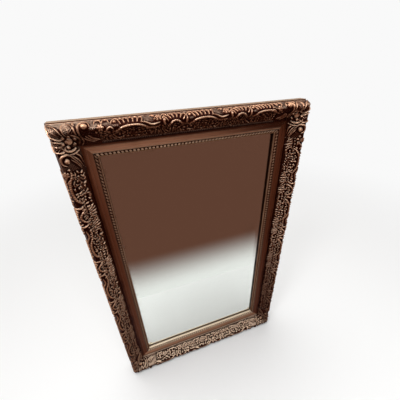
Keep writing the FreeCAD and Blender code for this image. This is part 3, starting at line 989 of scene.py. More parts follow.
    def curl(self, x: float, y: float, radius: float, start: float, turns: float) -> None:
        """Raise a spiral scroll with a ball at its eye: its radius shrinks evenly with the angle.

        Args:
            x: centre along the strip.
            y: centre across the strip.
            radius: outer radius.
            start: angle of its outer end in radians.
            turns: turns inwards, negative for the other hand.
        """
        width, height = 2.0, 5.0
        share = np.linspace(0.0, 1.0, 12)
        angle = start + turns * 2.0 * math.pi * share
        size = radius * (1.0 - 0.68 * share)
        self.stroke(list(zip(x + size * np.cos(angle), y + size * np.sin(angle))), width, height, Taper.END)
        self.dome(x, y, radius * 0.36, height * 1.15)

    def flower(self, x: float, y: float, radius: float) -> None:
        """Raise a flower: six petals as a ripple of the rim with the angle, and a ball in the middle.

        Args:
            x: its middle along the strip.
            y: its middle across the strip.
            radius: its radius.
        """
        petals, height = 6, 6.2
        rows = self.window(x - radius, x + radius)
        dx, dy = self.along[rows] - x, self.across[rows] - y
        ripple = np.abs(np.cos(0.5 * petals * np.arctan2(dy, dx)))
        t = np.hypot(dx, dy) / (radius * (0.58 + 0.42 * ripple**0.7))
        cup = 0.55 + 0.45 * unit(t)
        form = cup * np.sqrt(unit(1.0 - t**4)) * (0.55 + 0.45 * ripple**0.6)
        self.lift(height * form, rows, t < 1.0)
        self.dome(x, y, radius * 0.30, height * 1.15)


@dataclass
class MotifCarving(Carving):
    """The ornament's motifs, drawn in millimetres from the outer foot over the crest to the inner foot."""

    seed: int = 7
    seed_pitch: float = 10.4
    arch_top: float = 43.0
    terrace_place: float = 58.0
    terrace_depth: float = 2.6
    terrace_slope: float = 4.0
    fringe_foot: float = 68.0
    lip_place: float = 2.2
    lip_half: float = 2.0
    lip_height: float = 1.5
    stud_pitch: float = 5.6
    stud_height: float = 0.7
    berry: float = 3.4
    ring_balls: int = 6
    leaf_rib: float = 4.5
    band_rib: float = 6.0
    lobe_rib: float = 5.0

    def palmette(self, x: float, y: float, size: float, height: float) -> None:
        """Carve five leaves that fan out of one foot towards the crest.

        Args:
            x: foot along the strip.
            y: foot across the strip.
            size: length of the middle leaf.
            height: height of the leaves.
        """
        leaves = [(1, (0.0, 0.5), (0.0, 1.0), 0.22, 1.0)]
        for hand in (-1, 1):
            leaves.append((hand, (0.30, 0.45), (0.48, 0.86), 0.20, 0.95))
            leaves.append((hand, (0.50, 0.22), (0.92, 0.46), 0.20, 0.9))
        for hand, knee, tip, width, rise in leaves:
            line = [(x + hand * a * size, y - b * size) for a, b in ((0.0, 0.0), knee, tip)]
            self.stroke(line, width * size, height * rise, Taper.LEAF, Cut.LEAF, self.leaf_rib)
        self.dome(x, y - 0.08 * size, 0.13 * size, height * 1.1)

    def fringe(self, x: float, count: int, reach: float) -> None:
        """Carve a spray of leaf tips that fans out towards the plain band, with berries between its stems.

        Args:
            x: middle of the spray along the strip.
            count: number of leaf tips.
            reach: half width of the spray.
        """
        foot = self.fringe_foot
        for k in range(count):
            t = 2.0 * k / (count - 1) - 1.0
            root = (x + 0.55 * reach * t, foot + 3.0 * abs(t))
            knee = (x + 0.78 * reach * t + 2.0, 0.5 * (foot + 94.0) + 1.0)
            tip = (x + 1.05 * reach * t + 6.0, 95.0 - 5.0 * t * t)
            self.stroke([root, knee, tip], 2.9, 4.6, Taper.LEAF)
            self.dome(x + 0.80 * reach * t - 4.0, foot + 4.0 + 6.0 * (k % 2), 3.0, 4.8)

    def terrace(self, arches: Spots) -> None:
        """Lower the hollow below a line that rises over each arch: the least of shallow parabolas.

        Args:
            arches: middle and half width of each arch along the strip.
        """
        line = np.full_like(self.along, self.terrace_place)
        for middle, half in arches:
            away = (self.along - middle) / half
            line = np.minimum(line, self.arch_top + (self.terrace_place - self.arch_top) * away**2)
        self.settle(self.terrace_depth * eased((self.across - line) / self.terrace_slope))

    def seeds(self) -> None:
        """Scatter small curled leaves over the hollow: a grid of short strokes, each turned by a draw."""
        draw = np.random.default_rng(self.seed)
        low, high = float(self.along.min()), float(self.along.max())
        for x in np.arange(low + 4.0, high - 3.0, self.seed_pitch):
            for y in np.arange(54.0, 92.0, self.seed_pitch):
                dx, dy, size = draw.uniform(-2.4, 2.4, 3)
                turn = draw.uniform(0.0, math.pi)
                reach = 5.0 + 0.9 * size
                along, across = reach * math.cos(turn), reach * math.sin(turn)
                bend = (-0.35 * across, 0.35 * along)
                leaf = [(x + dx + a, y + dy + b) for a, b in ((-along, -across), bend, (along, across))]
                self.stroke(leaf, 3.3, 4.4, Taper.LEAF)

    def long_arch(self, x: float) -> None:
        """Carve a long arch: hollow flutes over a flat band that runs on as two ribbons, and leaves under it.

        Args:
            x: middle of the arch along the strip.
        """
        self.scallops(x, 118.0, 85.0, 107.0, 0.31, 1.7, 5.0)
        band = [(-41, 61), (-37, 52), (-23, 44), (0, 41), (20, 42), (36, 47), (52, 53), (68, 53)]
        self.stroke(placed(x, band), 2.9, 6.2, ribs=self.band_rib)
        self.stroke(placed(x, [(24, 35), (38, 39), (53, 44), (74, 41)]), 2.4, 5.6, Taper.BOTH)
        self.stroke(placed(x, [(-49, 32), (-43, 18), (-33, 15), (-29, 27)]), 2.6, 5.2, Taper.BOTH)
        self.dome(x - 39.0, 26.0, 4.6, 5.8)
        self.curl(x - 36.0, 62.0, 5.6, math.pi, -1.1)
        berries = [(-27, 56), (-11, 50.5), (4, 50), (19, 53), (-19, 68), (30, 62), (34, 73)]
        self.berries(placed(x, berries), self.berry, 4.6)
        self.palmette(x + 4.0, 82.0, 20.0, 4.0)
        for hand in (-1, 1):
            leaf = placed(x + 4, [(15, 84), (25, 75), (24, 64)], hand)
            self.stroke(leaf, 3.8, 4.2, Taper.LEAF, Cut.LEAF, self.leaf_rib)
            self.stroke(placed(x, [(20, 90), (30, 86), (40, 92)], hand), 3.0, 3.6, Taper.LEAF)

    def short_arch(self, x: float) -> None:
        """Carve a short arch: a shell of hollow scallops over a round band, drops and leaf tips under it.

        Args:
            x: middle of the arch along the strip.
        """
        self.scallops(x, 66.0, 33.0, 53.0, 0.68, 1.8, 5.6)
        band = [(-21, 60), (-18, 51), (-10, 44), (0, 41), (10, 44), (18, 51), (21, 60)]
        self.stroke(placed(x, band), 2.8, 6.2, ribs=self.band_rib)
        for shift in (-9.0, 0.0, 9.0):
            top = 50.0 + 0.3 * abs(shift)
            drop = placed(x, [(shift, top), (shift * 1.1, top + 5), (shift * 1.3, top + 10)])
            self.stroke(drop, 3.0, 4.8, Taper.END)
        self.fringe(x, 5, 20.0)
        for hand in (-1, 1):
            self.curl(x + hand * 18.0, 62.0, 5.0, 0.0 if hand > 0 else math.pi, hand * 1.1)
            self.stroke(placed(x, [(27, 56), (31, 42), (34, 28)], hand), 3.6, 4.8, Taper.LEAF)
            self.dome(x + hand * 30.0, 62.0, 3.2, 4.6)

    def nosegay(self, x: float) -> None:
        """Carve a flower on the outer face, berries, small leaves and a spray of leaf tips in the hollow.

        Args:
            x: middle of the flower along the strip.
        """
        self.flower(x, 23.0, 9.5)
        berries = [(-11, 31), (-4, 35), (4, 34), (11, 30), (14, 38), (-15, 63), (12, 61)]
        self.berries(placed(x, berries), self.berry, 5.4)
        for hand in (-1, 1):
            leaf = placed(x, [(8, 17), (16, 11), (24, 15)], hand)
            self.stroke(leaf, 3.6, 4.6, Taper.LEAF, Cut.LEAF, 4.0)
            self.stroke(placed(x, [(5, 60), (12, 66), (22, 64)], hand), 3.2, 4.4, Taper.LEAF)
        self.fringe(x, 6, 27.0)

    def matting(self) -> None:
        """Punch the ground all over: studs where two waves, bent a little by a third, rise together."""
        bend = 0.9 * np.sin(self.along / 7.3) + 0.7 * np.sin(self.across / 5.1 + self.along / 11.0)
        u = 2.0 * np.pi * (self.along + bend) / self.stud_pitch
        v = 2.0 * np.pi * (self.across + bend) / self.stud_pitch
        self.lift(self.stud_height * unit(np.cos(u) * np.cos(v)) ** 0.7)

    def edging(self, edge: Array) -> None:
        """Raise the thin lip along the outer foot: the root of a tent over the distance from the edge."""
        self.lift(self.lip_height * unit(1.0 - np.abs(edge - self.lip_place) / self.lip_half) ** 0.5)

    def end_spray(self, x: float, hand: int) -> None:
        """Carve the flower and the hollow leaves at the joint of a running length and a corner piece.

        Args:
            x: place of the joint along the strip.
            hand: 1 where the running length lies towards larger distances, -1 where it lies the other way.
        """
        self.flower(x + hand * 5.0, 40.0, 9.0)
        self.berries(placed(x, [(-6, 51), (4, 54), (13, 50)], hand), self.berry, 5.0)
        arc = [(-8.0, 27.0), (-6.0, 16.0), (0.0, 12.0), (6.0, 16.0), (8.0, 27.0)]
        for shift in (0.0, 18.0):
            self.stroke(placed(x, placed(shift, arc), hand), 2.3, 5.0, Taper.BOTH)
        self.stroke(placed(x, [(14, 57), (19, 46), (28, 41), (36, 46)], hand), 2.8, 5.2, Taper.BOTH)

    def boss(self, place: float) -> None:
        """Carve a corner's boss in a ring of balls, three rimmed lobes outside it and arcs on both hands.

        Args:
            place: the boss's distance from both outer edges.
        """
        middle_lobe = [(place - 9, place - 9), (place - 33, place - 33), (9, 9)]
        self.stroke(middle_lobe, 18.0, 6.8, Taper.LEAF, Cut.RIMMED, self.lobe_rib)
        side_lobe = [(place + 9, place - 10), (place + 12, place - 36), (place + 2, 10)]
        arcs = [(29, (-62, -38, -14, 10, 30), 4.4, 7.2), (38, (-28, -6, 16, 36), 2.6, 5.0)]
        for way in (1, -1):
            self.stroke([spot[::way] for spot in side_lobe], 17.0, 7.0, Taper.LEAF, Cut.RIMMED, self.lobe_rib)
            for radius, degrees, width, height in arcs:
                turns = [math.radians(turn) for turn in degrees]
                arc = [(place + radius * math.cos(turn), place + radius * math.sin(turn)) for turn in turns]
                self.stroke([spot[::way] for spot in arc], width, height, Taper.BOTH)
        self.dome(place, place, 11.5, 9.4)
        turns = [math.pi / 4 + 2.0 * math.pi * k / self.ring_balls for k in range(self.ring_balls)]
        ring = [(place + 18.5 * math.cos(turn), place + 18.5 * math.sin(turn)) for turn in turns]
        self.berries(ring, 5.0, 6.8)

    def rail_hood(self) -> None:
        """Carve the hooked scroll on the rail wing, round a ball on the crest, and the leaves under it."""
        hood = [(111, 80), (108, 60), (110, 38), (116, 22), (125, 16), (133, 22), (136, 34)]
        self.stroke(hood, 3.5, 7.4, Taper.END)
        self.dome(124.0, 33.0, 7.8, 9.0)
        for shift in (0.0, 7.0, 14.0):
            leaf = placed(shift, [(112, 70 - 0.6 * shift), (122, 80 - 0.3 * shift), (140, 90 - 0.4 * shift)])
            self.stroke(leaf, 3.6, 4.2, Taper.LEAF)
        self.stroke([(101, 26), (99, 16), (104, 10)], 3.4, 4.0, Taper.LEAF)

    def stile_hood(self) -> None:
        """Carve the hooked scroll on the stile wing, round a ball in the hollow, and its sweeping leaves."""
        hood = [(90, 150), (76, 128), (62, 111), (50, 107), (42, 116), (42, 130), (50, 138)]
        self.stroke(hood, 3.6, 7.4, Taper.BOTH)
        self.dome(53.0, 125.0, 7.8, 9.0)
        for shift in (0.0, 7.0, 14.0):
            tip = (91 + 0.4 * shift, 158 - 1.2 * shift)
            leaf = [(66 + shift, 124 - shift), (78 + shift, 138 - 1.1 * shift), tip]
            self.stroke(leaf, 2.9, 5.2, Taper.LEAF)
        self.stroke([(26, 104), (15, 100), (10, 108)], 3.4, 4.0, Taper.LEAF)


# Meshes


def loft(name: str, rows: Array, attributes: dict[str, Array]) -> bpy.types.Object:
    """Join closed loops into a closed shell: four-sided faces between loops and a cap at each end.

    Args:
        name: the piece's name.
        rows: loops of points in metres, as loop, place in the loop, and coordinate.
        attributes: numbers for each point, by name.

    Returns:
        The new object, at the origin, with outward faces.
    """
    loops, size = rows.shape[:2]
    index = np.arange(loops * size).reshape(loops, size)
    after = np.roll(index, -1, axis=1)
    quads = np.stack([index[:-1], after[:-1], after[1:], index[1:]], axis=-1).reshape(-1, 4)
    mesh = bpy.data.meshes.new(name)
    mesh.vertices.add(loops * size)
    mesh.vertices.foreach_set("co", rows.reshape(-1).astype(np.float32))
    corners = np.concatenate([quads.reshape(-1), index[0][::-1], index[-1]])
    starts = np.concatenate([np.arange(len(quads)) * 4, [len(quads) * 4, len(quads) * 4 + size]])
    mesh.loops.add(len(corners))
    mesh.loops.foreach_set("vertex_index", corners.astype(np.int32))
    mesh.polygons.add(len(starts))
    mesh.polygons.foreach_set("loop_start", starts.astype(np.int32))
    mesh.update(calc_edges=True)
    for key, values in attributes.items():
        layer = mesh.attributes.new(key, "FLOAT", "POINT")
        layer.data.foreach_set("value", values.reshape(-1).astype(np.float32))
    work = bmesh.new()
    work.from_mesh(mesh)
    bmesh.ops.recalc_face_normals(work, faces=work.faces)
    work.to_mesh(mesh)
    work.free()
    smooth = np.ones(len(mesh.polygons), dtype=bool)
    smooth[-2:] = False
    mesh.polygons.foreach_set("use_smooth", smooth)
    mesh.validate()
    made = bpy.data.objects.new(name, mesh)
    bpy.context.scene.collection.objects.link(made)
    return made


def turned(points: Array, quarter_turns: int, shift: tuple[float, float]) -> Array:
    """Turn points about the Y axis by quarter turns and shift them in X and Z.

    Args:
        points: points in metres, coordinate last.
        quarter_turns: number of quarter turns, from Z towards X.
        shift: shift in X and Z.

    Returns:
        The moved points.
    """
    angle = quarter_turns * math.pi / 2.0
    c, s = round(math.cos(angle)), round(math.sin(angle))
    x, y, z = points[..., 0], points[..., 1], points[..., 2]
    return np.stack([c * x + s * z + shift[0], y, -s * x + c * z + shift[1]], axis=-1)


@dataclass
class Piece:
    """What every new piece shares: its body, its slot and its material."""

    material: bpy.types.Material
    slot: str

    def dress(self, made: bpy.types.Object, node: str) -> None:
        """Give a piece its material and body, and let it stand for its CAD node.

        Args:
            made: the new object.
            node: the CAD node that it replaces.
        """
        made.data.materials.clear()
        made.data.materials.append(self.material)
        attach(made, "frame")
        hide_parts(node)
        LOG.info("%s: %d faces", made.name, len(made.data.polygons))


@dataclass
class MouldedPiece(Piece):
    """Pieces that follow the moulding: a front and a seat line of its section, carried along the sides."""

    section: MouldingSection
    width: float
    height: float
    front: Array = field(init=False)
    seat: Array = field(init=False)

    def loops(self, rise: Array, along: Callable[[Array], Array]) -> Array:
        """Stand a relief on the front, along its normals, and close each row round the seat.

        Args:
            rise: relief in metres, for each row and each point of the front.
            along: gives the distance along the side for offsets from the outer edge.

        Returns:
            Loops of points for a side lying along the X axis, its outer edge at z = 0.
        """
        front = self.front + rise[..., None] * normals_of(self.front)
        seat = np.broadcast_to(self.seat, (len(rise), *self.seat.shape))
        offset, depth = np.moveaxis(np.concatenate([front, seat], axis=1), -1, 0)
        return np.stack([along(offset), -depth, -offset], axis=-1)

    def with_seat(self, values: Array, seat: Any = 0.0) -> Array:
        """Add the seat's values, the same for each row, to a number on the front's points."""
        return np.concatenate([values, np.broadcast_to(seat, (len(values), len(self.seat)))], axis=1)

    def add(self, name: str, node: str, place: Place, rows: Array, marks: dict[str, Array]) -> None:
        """Make one piece at its place and dress it.

        Args:
            name: start of the piece's name.
            node: start of the name of the CAD node that it replaces.
            place: its side or corner.
            rows: its loops, lying along the X axis.
            marks: numbers for each point, by name.
        """
        moved = turned(rows, place.value, place.spot(self.width, self.height))
        self.dress(loft(name + place.word, moved, marks), node + place.word)


@dataclass
class CarvedBand(MouldedPiece):
    """The pressed ornament: four running lengths and four corner pieces over the mitres.

    The relief is a height field on the developed front of the band, pushed out along its normals. Margins,
    pitch, half widths, crest, fade and full heights are in millimetres, the other lengths in metres.
    """

    corner: float = 0.118
    columns: int = 104
    step: float = 0.00105
    corner_step: float = 0.0008
    lead_margin: float = 79.0
    tail_margin: float = 54.0
    pitch: float = 195.5
    flower_share: float = 0.365
    short_share: float = 0.59
    long_half: float = 40.0
    short_half: float = 20.0
    boss_place: float = 0.041
    relief_full: float = 7.0
    wear_reach: int = 4
    wear_full: float = 1.7
    crest_place: float = 42.0
    crest_blend: float = 8.0
    foot_fade: float = 5.0
    front_limit: float = 0.0688
    side_limit: float = 0.0004
    least_slope: float = 0.05
    across: Array = field(init=False)

    def __post_init__(self) -> None:
        """Work out the band's front, its seat and its developed lengths."""
        self.front = self.section.band_front(self.columns)
        self.seat = self.section.band_seat()
        self.across = lengths_of(self.front) / MILLIMETRE

    def developed(self, offset: Array) -> Array:
        """Developed distance in millimetres for an offset in metres, straight on past the band."""
        past = np.clip(offset - self.section.reach, 0.0, None) / MILLIMETRE
        return np.interp(offset, self.front[:, 0], self.across) + past

    def run_relief(self, length: float) -> Carving:
        """Carve the length between two corner pieces: long arches, flowers and short arches in turn.

        Args:
            length: the side's outer length in metres.

        Returns:
            The carved strip, its distance along counted from its middle.
        """
        run = (length - 2.0 * self.corner) / MILLIMETRE
        rows = int(round(run * MILLIMETRE / self.step)) + 1
        carving = MotifCarving(*np.meshgrid(np.linspace(-run / 2, run / 2, rows), self.across, indexing="ij"))
        room = run - self.lead_margin - self.tail_margin
        spaces = max(1, round(room / self.pitch))
        pitch = room / spaces
        starts = [self.lead_margin - run / 2 + pitch * k for k in range(spaces + 1)]
        shorts = [x + pitch * self.short_share for x in starts[:-1]]
        carving.matting()
        carving.terrace([(x, self.long_half) for x in starts] + [(x, self.short_half) for x in shorts])
        carving.seeds()
        carving.edging(carving.across)
        for x in starts:
            carving.long_arch(x)
        for x, short in zip(starts, shorts):
            carving.nosegay(x + pitch * self.flower_share)
            carving.short_arch(short)
        for hand in (-1, 1):
            carving.end_spray(hand * run / 2, -hand)
        carving.fringe(-run / 2 + 20.0, 5, 20.0)
        return carving

    def corner_relief(self, along: Array, across: Array) -> Carving:
        """Carve a corner piece on developed distances from the two outer edges.

        Args:
            along: developed distance from the upright outer edge.
            across: developed distance from the level outer edge.

        Returns:
            The carved grid. Its rail wing has its ball high on the crest, its stile wing lower in the hollow.
        """
        carving = MotifCarving(along, across)
        carving.matting()
        carving.edging(np.minimum(along, across))
        carving.boss(float(self.developed(np.array(self.boss_place))))
        carving.rail_hood()
        carving.stile_hood()
        joint = float(self.developed(np.array(self.corner)))
        other = MotifCarving(across, along)
        for wing in (carving, other):
            wing.end_spray(joint, 1)
        carving.lift(other.height, inside=other.height > 0.0)
        return carving

    def settled(self, carving: Carving) -> Array:
        """Fade the relief to nothing at the band's inner foot and bend it under the front and side limits.

        The bend is the limit times the hyperbolic tangent of the relief over the limit.

        Args:
            carving: the carved strip.

        Returns:
            The relief in metres.
        """
        fade = eased((self.across[-1] - carving.across) / self.foot_fade)
        rise = carving.height * fade * MILLIMETRE
        sideways, forward = normals_of(self.front).T
        room = (self.front_limit - self.front[:, 1]) / np.maximum(forward, self.least_slope)
        outward = (self.front[:, 0] - self.side_limit) / np.maximum(-sideways, self.least_slope)
        most = np.minimum(room, np.where(sideways < -self.least_slope, outward, 1.0))
        return np.where(rise > 0.0, most * np.tanh(rise / most), rise)

    def marks(self, carving: Carving) -> dict[str, Array]:
        """The relief, wear and outer face of each point, with nothing on the seat.

        Args:
            carving: the carved strip.

        Returns:
            The numbers, by name.
        """
        marks = {
            "relief": np.clip(carving.height / self.relief_full, -0.3, 1.2),
            "wear": wear_of(carving.height, self.wear_reach, self.wear_full),
            "face": unit((self.crest_place + self.crest_blend - carving.across) / (2.0 * self.crest_blend)),
        }
        return {key: self.with_seat(values) for key, values in marks.items()}

    def build_runs(self) -> None:
        """Make the four running lengths."""
        for side in Side:
            carving = self.run_relief(self.height if side.upright else self.width)
            places = carving.along[:, :1] * MILLIMETRE
            rows = self.loops(self.settled(carving), lambda offset: np.broadcast_to(places, offset.shape))
            self.add("carved_run_", "ornament_", side, rows, self.marks(carving))

    def build_corners(self) -> None:
        """Make the four corner pieces, each of two wings that meet on the mitre."""
        rail = self.wing(False)
        stile = self.wing(True)
        for corner in Corner:
            mirrored = corner in (Corner.TOP_RIGHT, Corner.BOTTOM_LEFT)
            first, second = (stile, rail) if mirrored else (rail, stile)
            points, marks = second
            swapped = np.stack([-points[..., 2], points[..., 1], -points[..., 0]], axis=-1)
            rows = np.concatenate([swapped[:0:-1], first[0]])
            both = {key: np.concatenate([marks[key][:0:-1], first[1][key]]) for key in marks}
            self.add("carved_corner_", "corner_ornament_", corner, rows, both)

    def wing(self, upright: bool) -> tuple[Array, dict[str, Array]]:
        """Work out one wing of a corner piece, from its mitre to its joint.

        Args:
            upright: whether the wing's drawing is the stile's instead of the rail's.

        Returns:
            Its loops, lying along the X axis, and its marks.
        """
        count = int(round(self.corner / self.corner_step)) + 1
        share = np.linspace(0.0, 1.0, count)[:, None]

        def along(offset: Array) -> Array:
            """Distances from the mitre, at an offset, to the joint."""
            return offset + (self.corner - offset) * share

        far = self.developed(along(self.front[None, :, 0]))
        near = np.broadcast_to(self.across, far.shape).copy()
        carving = Carving(far, near)
        carving.height = (self.corner_relief(near, far) if upright else self.corner_relief(far, near)).height
        return self.loops(self.settled(carving), along), self.marks(carving)


@dataclass
class SightStrip(MouldedPiece):
    """The fine leaf-tip strips along the glass, mitred at their ends."""

    columns: int = 26
    step: float = 0.0010
    pitch: float = 0.0105
    rise: float = 0.0027
    bead_place: float = 0.79
    bead_half: float = 0.20
    bead_height: float = 0.9
    gilt_share: float = 0.92
    gilt_blend: float = 0.06
    stile_gilt: float = 0.35
    edge_blend: float = 0.04
    tongue_place: float = 0.38
    relief_share: float = 0.8
    wear_reach: int = 2
    wear_full: float = 0.6

    def __post_init__(self) -> None:
        """Work out the strip's front, and its seat with the gilding turned in at the glass."""
        self.front = self.section.bead_front(self.columns)
        seat = self.section.bead_seat_line()
        turned_in = self.front[-1:] + self.gilt_share * (seat[:1] - self.front[-1:])
        self.seat = np.concatenate([turned_in, seat])

    def relief(self, share: Array, across: Array, count: int) -> Array:
        """Heights of the leaf tips: a rounded tongue per pitch with a cleft between, between plain edges.

        Args:
            share: place along the strip from -1 to 1.
            across: place across it from 0 to 1.
            count: number of leaf tips.

        Returns:
            Heights from 0 to 1.
        """
        place = (share + 1.0) * 0.5 * count
        t = 2.0 * (place - np.floor(place)) - 1.0
        down = across - self.tongue_place
        lean = t + 0.9 * down
        tongue = np.sqrt(unit(1.0 - (lean / 0.80) ** 2 - (down / 0.27) ** 2))
        vein = 0.25 * np.exp(-((lean / 0.16) ** 2)) * tongue
        dart = 0.55 * np.exp(-(((np.abs(t) - 1.0) / 0.14) ** 2)) * unit(1.0 - np.abs(across - 0.55) / 0.14)
        lip = 0.55 * unit(1.0 - np.abs(across - 0.06) / 0.06)
        bead = self.bead_height * np.sqrt(unit(1.0 - ((across - self.bead_place) / self.bead_half) ** 2))
        return np.maximum(np.maximum(np.maximum(tongue - vein, dart), lip), bead)

    def build(self) -> None:
        """Make the four strips."""
        across = np.linspace(0.0, 1.0, self.columns)[None, :]
        gilt = unit((across - self.bead_place + self.bead_half) / self.gilt_blend)
        for side in Side:
            half = (self.height if side.upright else self.width) / 2
            length = 2.0 * (half - self.section.bead_end)
            share = np.linspace(-1.0, 1.0, int(round(length / self.step)) + 1)[:, None]
            relief = self.relief(share, across, int(round(length / self.pitch)))
            rise = relief * self.rise * unit(np.minimum(across, 1.0 - across) / self.edge_blend)
            rows = self.loops(rise, lambda offset: share * (half - offset))
            # The seat gets a wear of -1, which darkens it as painted shade in the gap at the glass; its
            # turned-in first row keeps the gilding, less of it on the stiles
            kept = np.zeros(len(self.seat))
            kept[0] = self.stile_gilt if side.upright else 1.0
            marks = {
                "relief": self.with_seat(relief * self.relief_share),
                "wear": self.with_seat(wear_of(relief, self.wear_reach, self.wear_full), kept - 1.0),
                "gilt": self.with_seat(np.broadcast_to(gilt, relief.shape), kept),
            }
            self.add("leaf_strip_", "sight_bead_", side, rows, marks)


@dataclass
class BevelledPlate(Piece):
    """The glass: a flat plate with a ground bevel, a hair in front of its silvering."""

    bevel: float = 0.025
    edge: float = 0.0026
    arris: float = 0.0004
    gap: float = 0.00004

    def build(self) -> None:
        """Make the plate from rectangles at growing depth: back, rim, bevel and front."""
        low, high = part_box("mirror_glass")
        half = np.array([(high[0] - low[0]) / 2, (high[2] - low[2]) / 2])
        back, front = high[1] - self.gap, low[1]
        levels = [
            (self.arris, back),
            (0.0, back - self.arris),
            (0.0, back - self.edge + self.arris),
            (self.arris, back - self.edge),
            (self.bevel, front),
        ]
        signs = np.array([[-1, -1], [1, -1], [1, 1], [-1, 1]])
        rows = []
        for inset, depth in levels:
            spots = signs * (half - inset)
            rows.append(np.stack([spots[:, 0], np.full(4, depth), spots[:, 1]], axis=-1))
        made = loft("bevelled_plate", np.array(rows), {})
        made.data.polygons.foreach_set("use_smooth", np.zeros(len(made.data.polygons), dtype=bool))
        self.dress(made, "mirror_glass")


@dataclass
class BackAndFittings:
    """The CAD nodes that keep their shapes: they only get their finishes."""

    finishes: dict[str, bpy.types.Material]

    def dress(self) -> None:
        """Give each listed node its material by the start of its name."""
        for node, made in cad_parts.items():
            for start, material in self.finishes.items():
                if node.startswith(start):
                    made.data.materials.clear()
                    made.data.materials.append(material)
                    LOG.info("%s: %s", node, material.name)


@dataclass
class Studio:
    """Pale floor, soft light, white surround, a glowing card that paints a reflection for the glass, and the
    camera.
    """

    floor_level: float
    eye: Point = (-0.2168, -0.6738, 0.6905)
    yaw: float = 17.869
    pitch: float = -30.436
    roll: float = -2.44
    focal_pixels: float = 227.82
    centre: tuple[float, float] = (196.6, 200.6)
    picture: float = 400.0
    sensor: float = 36.0
    nearest: float = 0.02
    floor_half: float = 12.0
    fade_start: float = 1.2
    fade_end: float = 3.2
    white: float = 0.947
    floor_pale: float = 0.93
    floor_bounce: float = 0.18
    ambient: float = 0.42
    ambient_tone: Colour = (1.0, 0.99, 0.97)
    sun_power: float = 1.40
    sun_angle: float = 50.0
    sun_tilt: tuple[float, float] = (-6.0, -10.0)
    card_place: float = -0.38
    card_half: float = 3.0
    card_height: float = 1.50
    card_rise: tuple[float, float] = (0.01, 0.34)
    card_foot: Colour = (0.90, 0.90, 0.885)
    card_top: Colour = (0.130, 0.056, 0.036)

    def camera(self) -> None:
        """Set the camera where the photograph was taken from: turn, tilt, then roll about its axis."""
        yaw, pitch, roll = (math.radians(value) for value in (self.yaw, self.pitch, self.roll))
        ahead = np.array([math.sin(yaw) * math.cos(pitch), math.cos(yaw) * math.cos(pitch), math.sin(pitch)])
        right = np.array([math.cos(yaw), -math.sin(yaw), 0.0])
        upward = np.cross(right, ahead)
        across = math.cos(roll) * right + math.sin(roll) * upward
        rise = -math.sin(roll) * right + math.cos(roll) * upward
        data = bpy.data.cameras.new("camera")
        data.sensor_width = self.sensor
        data.lens = self.focal_pixels / self.picture * self.sensor
        data.shift_x = 0.5 - self.centre[0] / self.picture
        data.shift_y = self.centre[1] / self.picture - 0.5
        data.clip_start = self.nearest
        made = self.hang("camera", data)
        matrix = np.eye(4)
        matrix[:3] = np.stack([across, rise, -ahead, self.eye], axis=1)
        made.matrix_world = Matrix(matrix.tolist())
        bpy.context.scene.camera = made

    def hang(self, name: str, data: bpy.types.ID) -> bpy.types.Object:
        """Add an object to the scene.

        Args:
            name: the object's name.
            data: its mesh, lamp or camera.

        Returns:
            The object.
        """
        made = bpy.data.objects.new(name, data)
        bpy.context.scene.collection.objects.link(made)
        return made

    def seen(self, s: Shader) -> Socket:
        """1 for camera, glossy and transmission rays, 0 for the rest."""
        camera, glossy, through = (
            s.node("LightPath", {}, {}, f"Is {kind} Ray") for kind in ("Camera", "Glossy", "Transmission")
        )
        return camera.most(glossy).most(through)

    def sheet(self, name: str, spots: list[Point], material: bpy.types.Material) -> bpy.types.Object:
        """Add one flat stage sheet.

        Args:
            name: the sheet's name.
            spots: its four corners.
            material: its material.

        Returns:
            The sheet.
        """
        mesh = bpy.data.meshes.new(name)
        mesh.from_pydata(spots, [], [(0, 1, 2, 3)])
        mesh.materials.append(material)
        made = self.hang(name, mesh)
        return made

    def floor(self) -> None:
        """Lay the pale floor, which fades into the white surround and keeps the shadow."""
        s = Shader("floor")
        pale = s.node("BsdfDiffuse", {}, {"Color": (self.floor_pale,) * 3 + (1.0,)})
        bounce = s.node("BsdfDiffuse", {}, {"Color": (self.floor_bounce,) * 3 + (1.0,)})
        glow = s.node("Emission", {}, {"Color": (self.white,) * 3 + (1.0,)})
        away = (s.axis("X") ** 2.0 + s.axis("Y") ** 2.0) ** 0.5
        shown = s.node("MixShader", {}, {0: away.ramp(self.fade_start, self.fade_end), 1: pale, 2: glow})
        both = s.node("MixShader", {}, {0: self.seen(s), 1: bounce, 2: shown})
        half = self.floor_half
        spots = [(-half, -half), (half, -half), (half, half), (-half, half)]
        self.sheet("floor", [(x, y, self.floor_level) for x, y in spots], s.close(both))

    def card(self) -> None:
        """Stand a glowing studio card in front, seen only in reflections: a painted reflection, pale at its
        foot, dim higher up.
        """
        s = Shader("card_shade")
        rise = (s.axis("Z") - self.floor_level).ramp(*self.card_rise)
        # Painted reflection: an emission sheet that only reflections see
        shade = s.close(s.node("Emission", {}, {"Color": s.mix(rise, self.card_foot, self.card_top)}))
        low, high = self.floor_level, self.floor_level + self.card_height
        wide = self.card_half
        spots = [(-wide, low), (wide, low), (wide, high), (-wide, high)]
        made = self.sheet("card", [(x, self.card_place, z) for x, z in spots], shade)
        made.visible_camera = False
        made.visible_diffuse = False
        made.visible_shadow = False

    def sun(self) -> None:
        """Hang a broad soft sun, almost overhead and a little behind the left of the frame."""
        data = bpy.data.lights.new("sun", "SUN")
        data.energy = self.sun_power
        data.angle = math.radians(self.sun_angle)
        self.hang("sun", data).rotation_euler = (*map(math.radians, self.sun_tilt), 0.0)

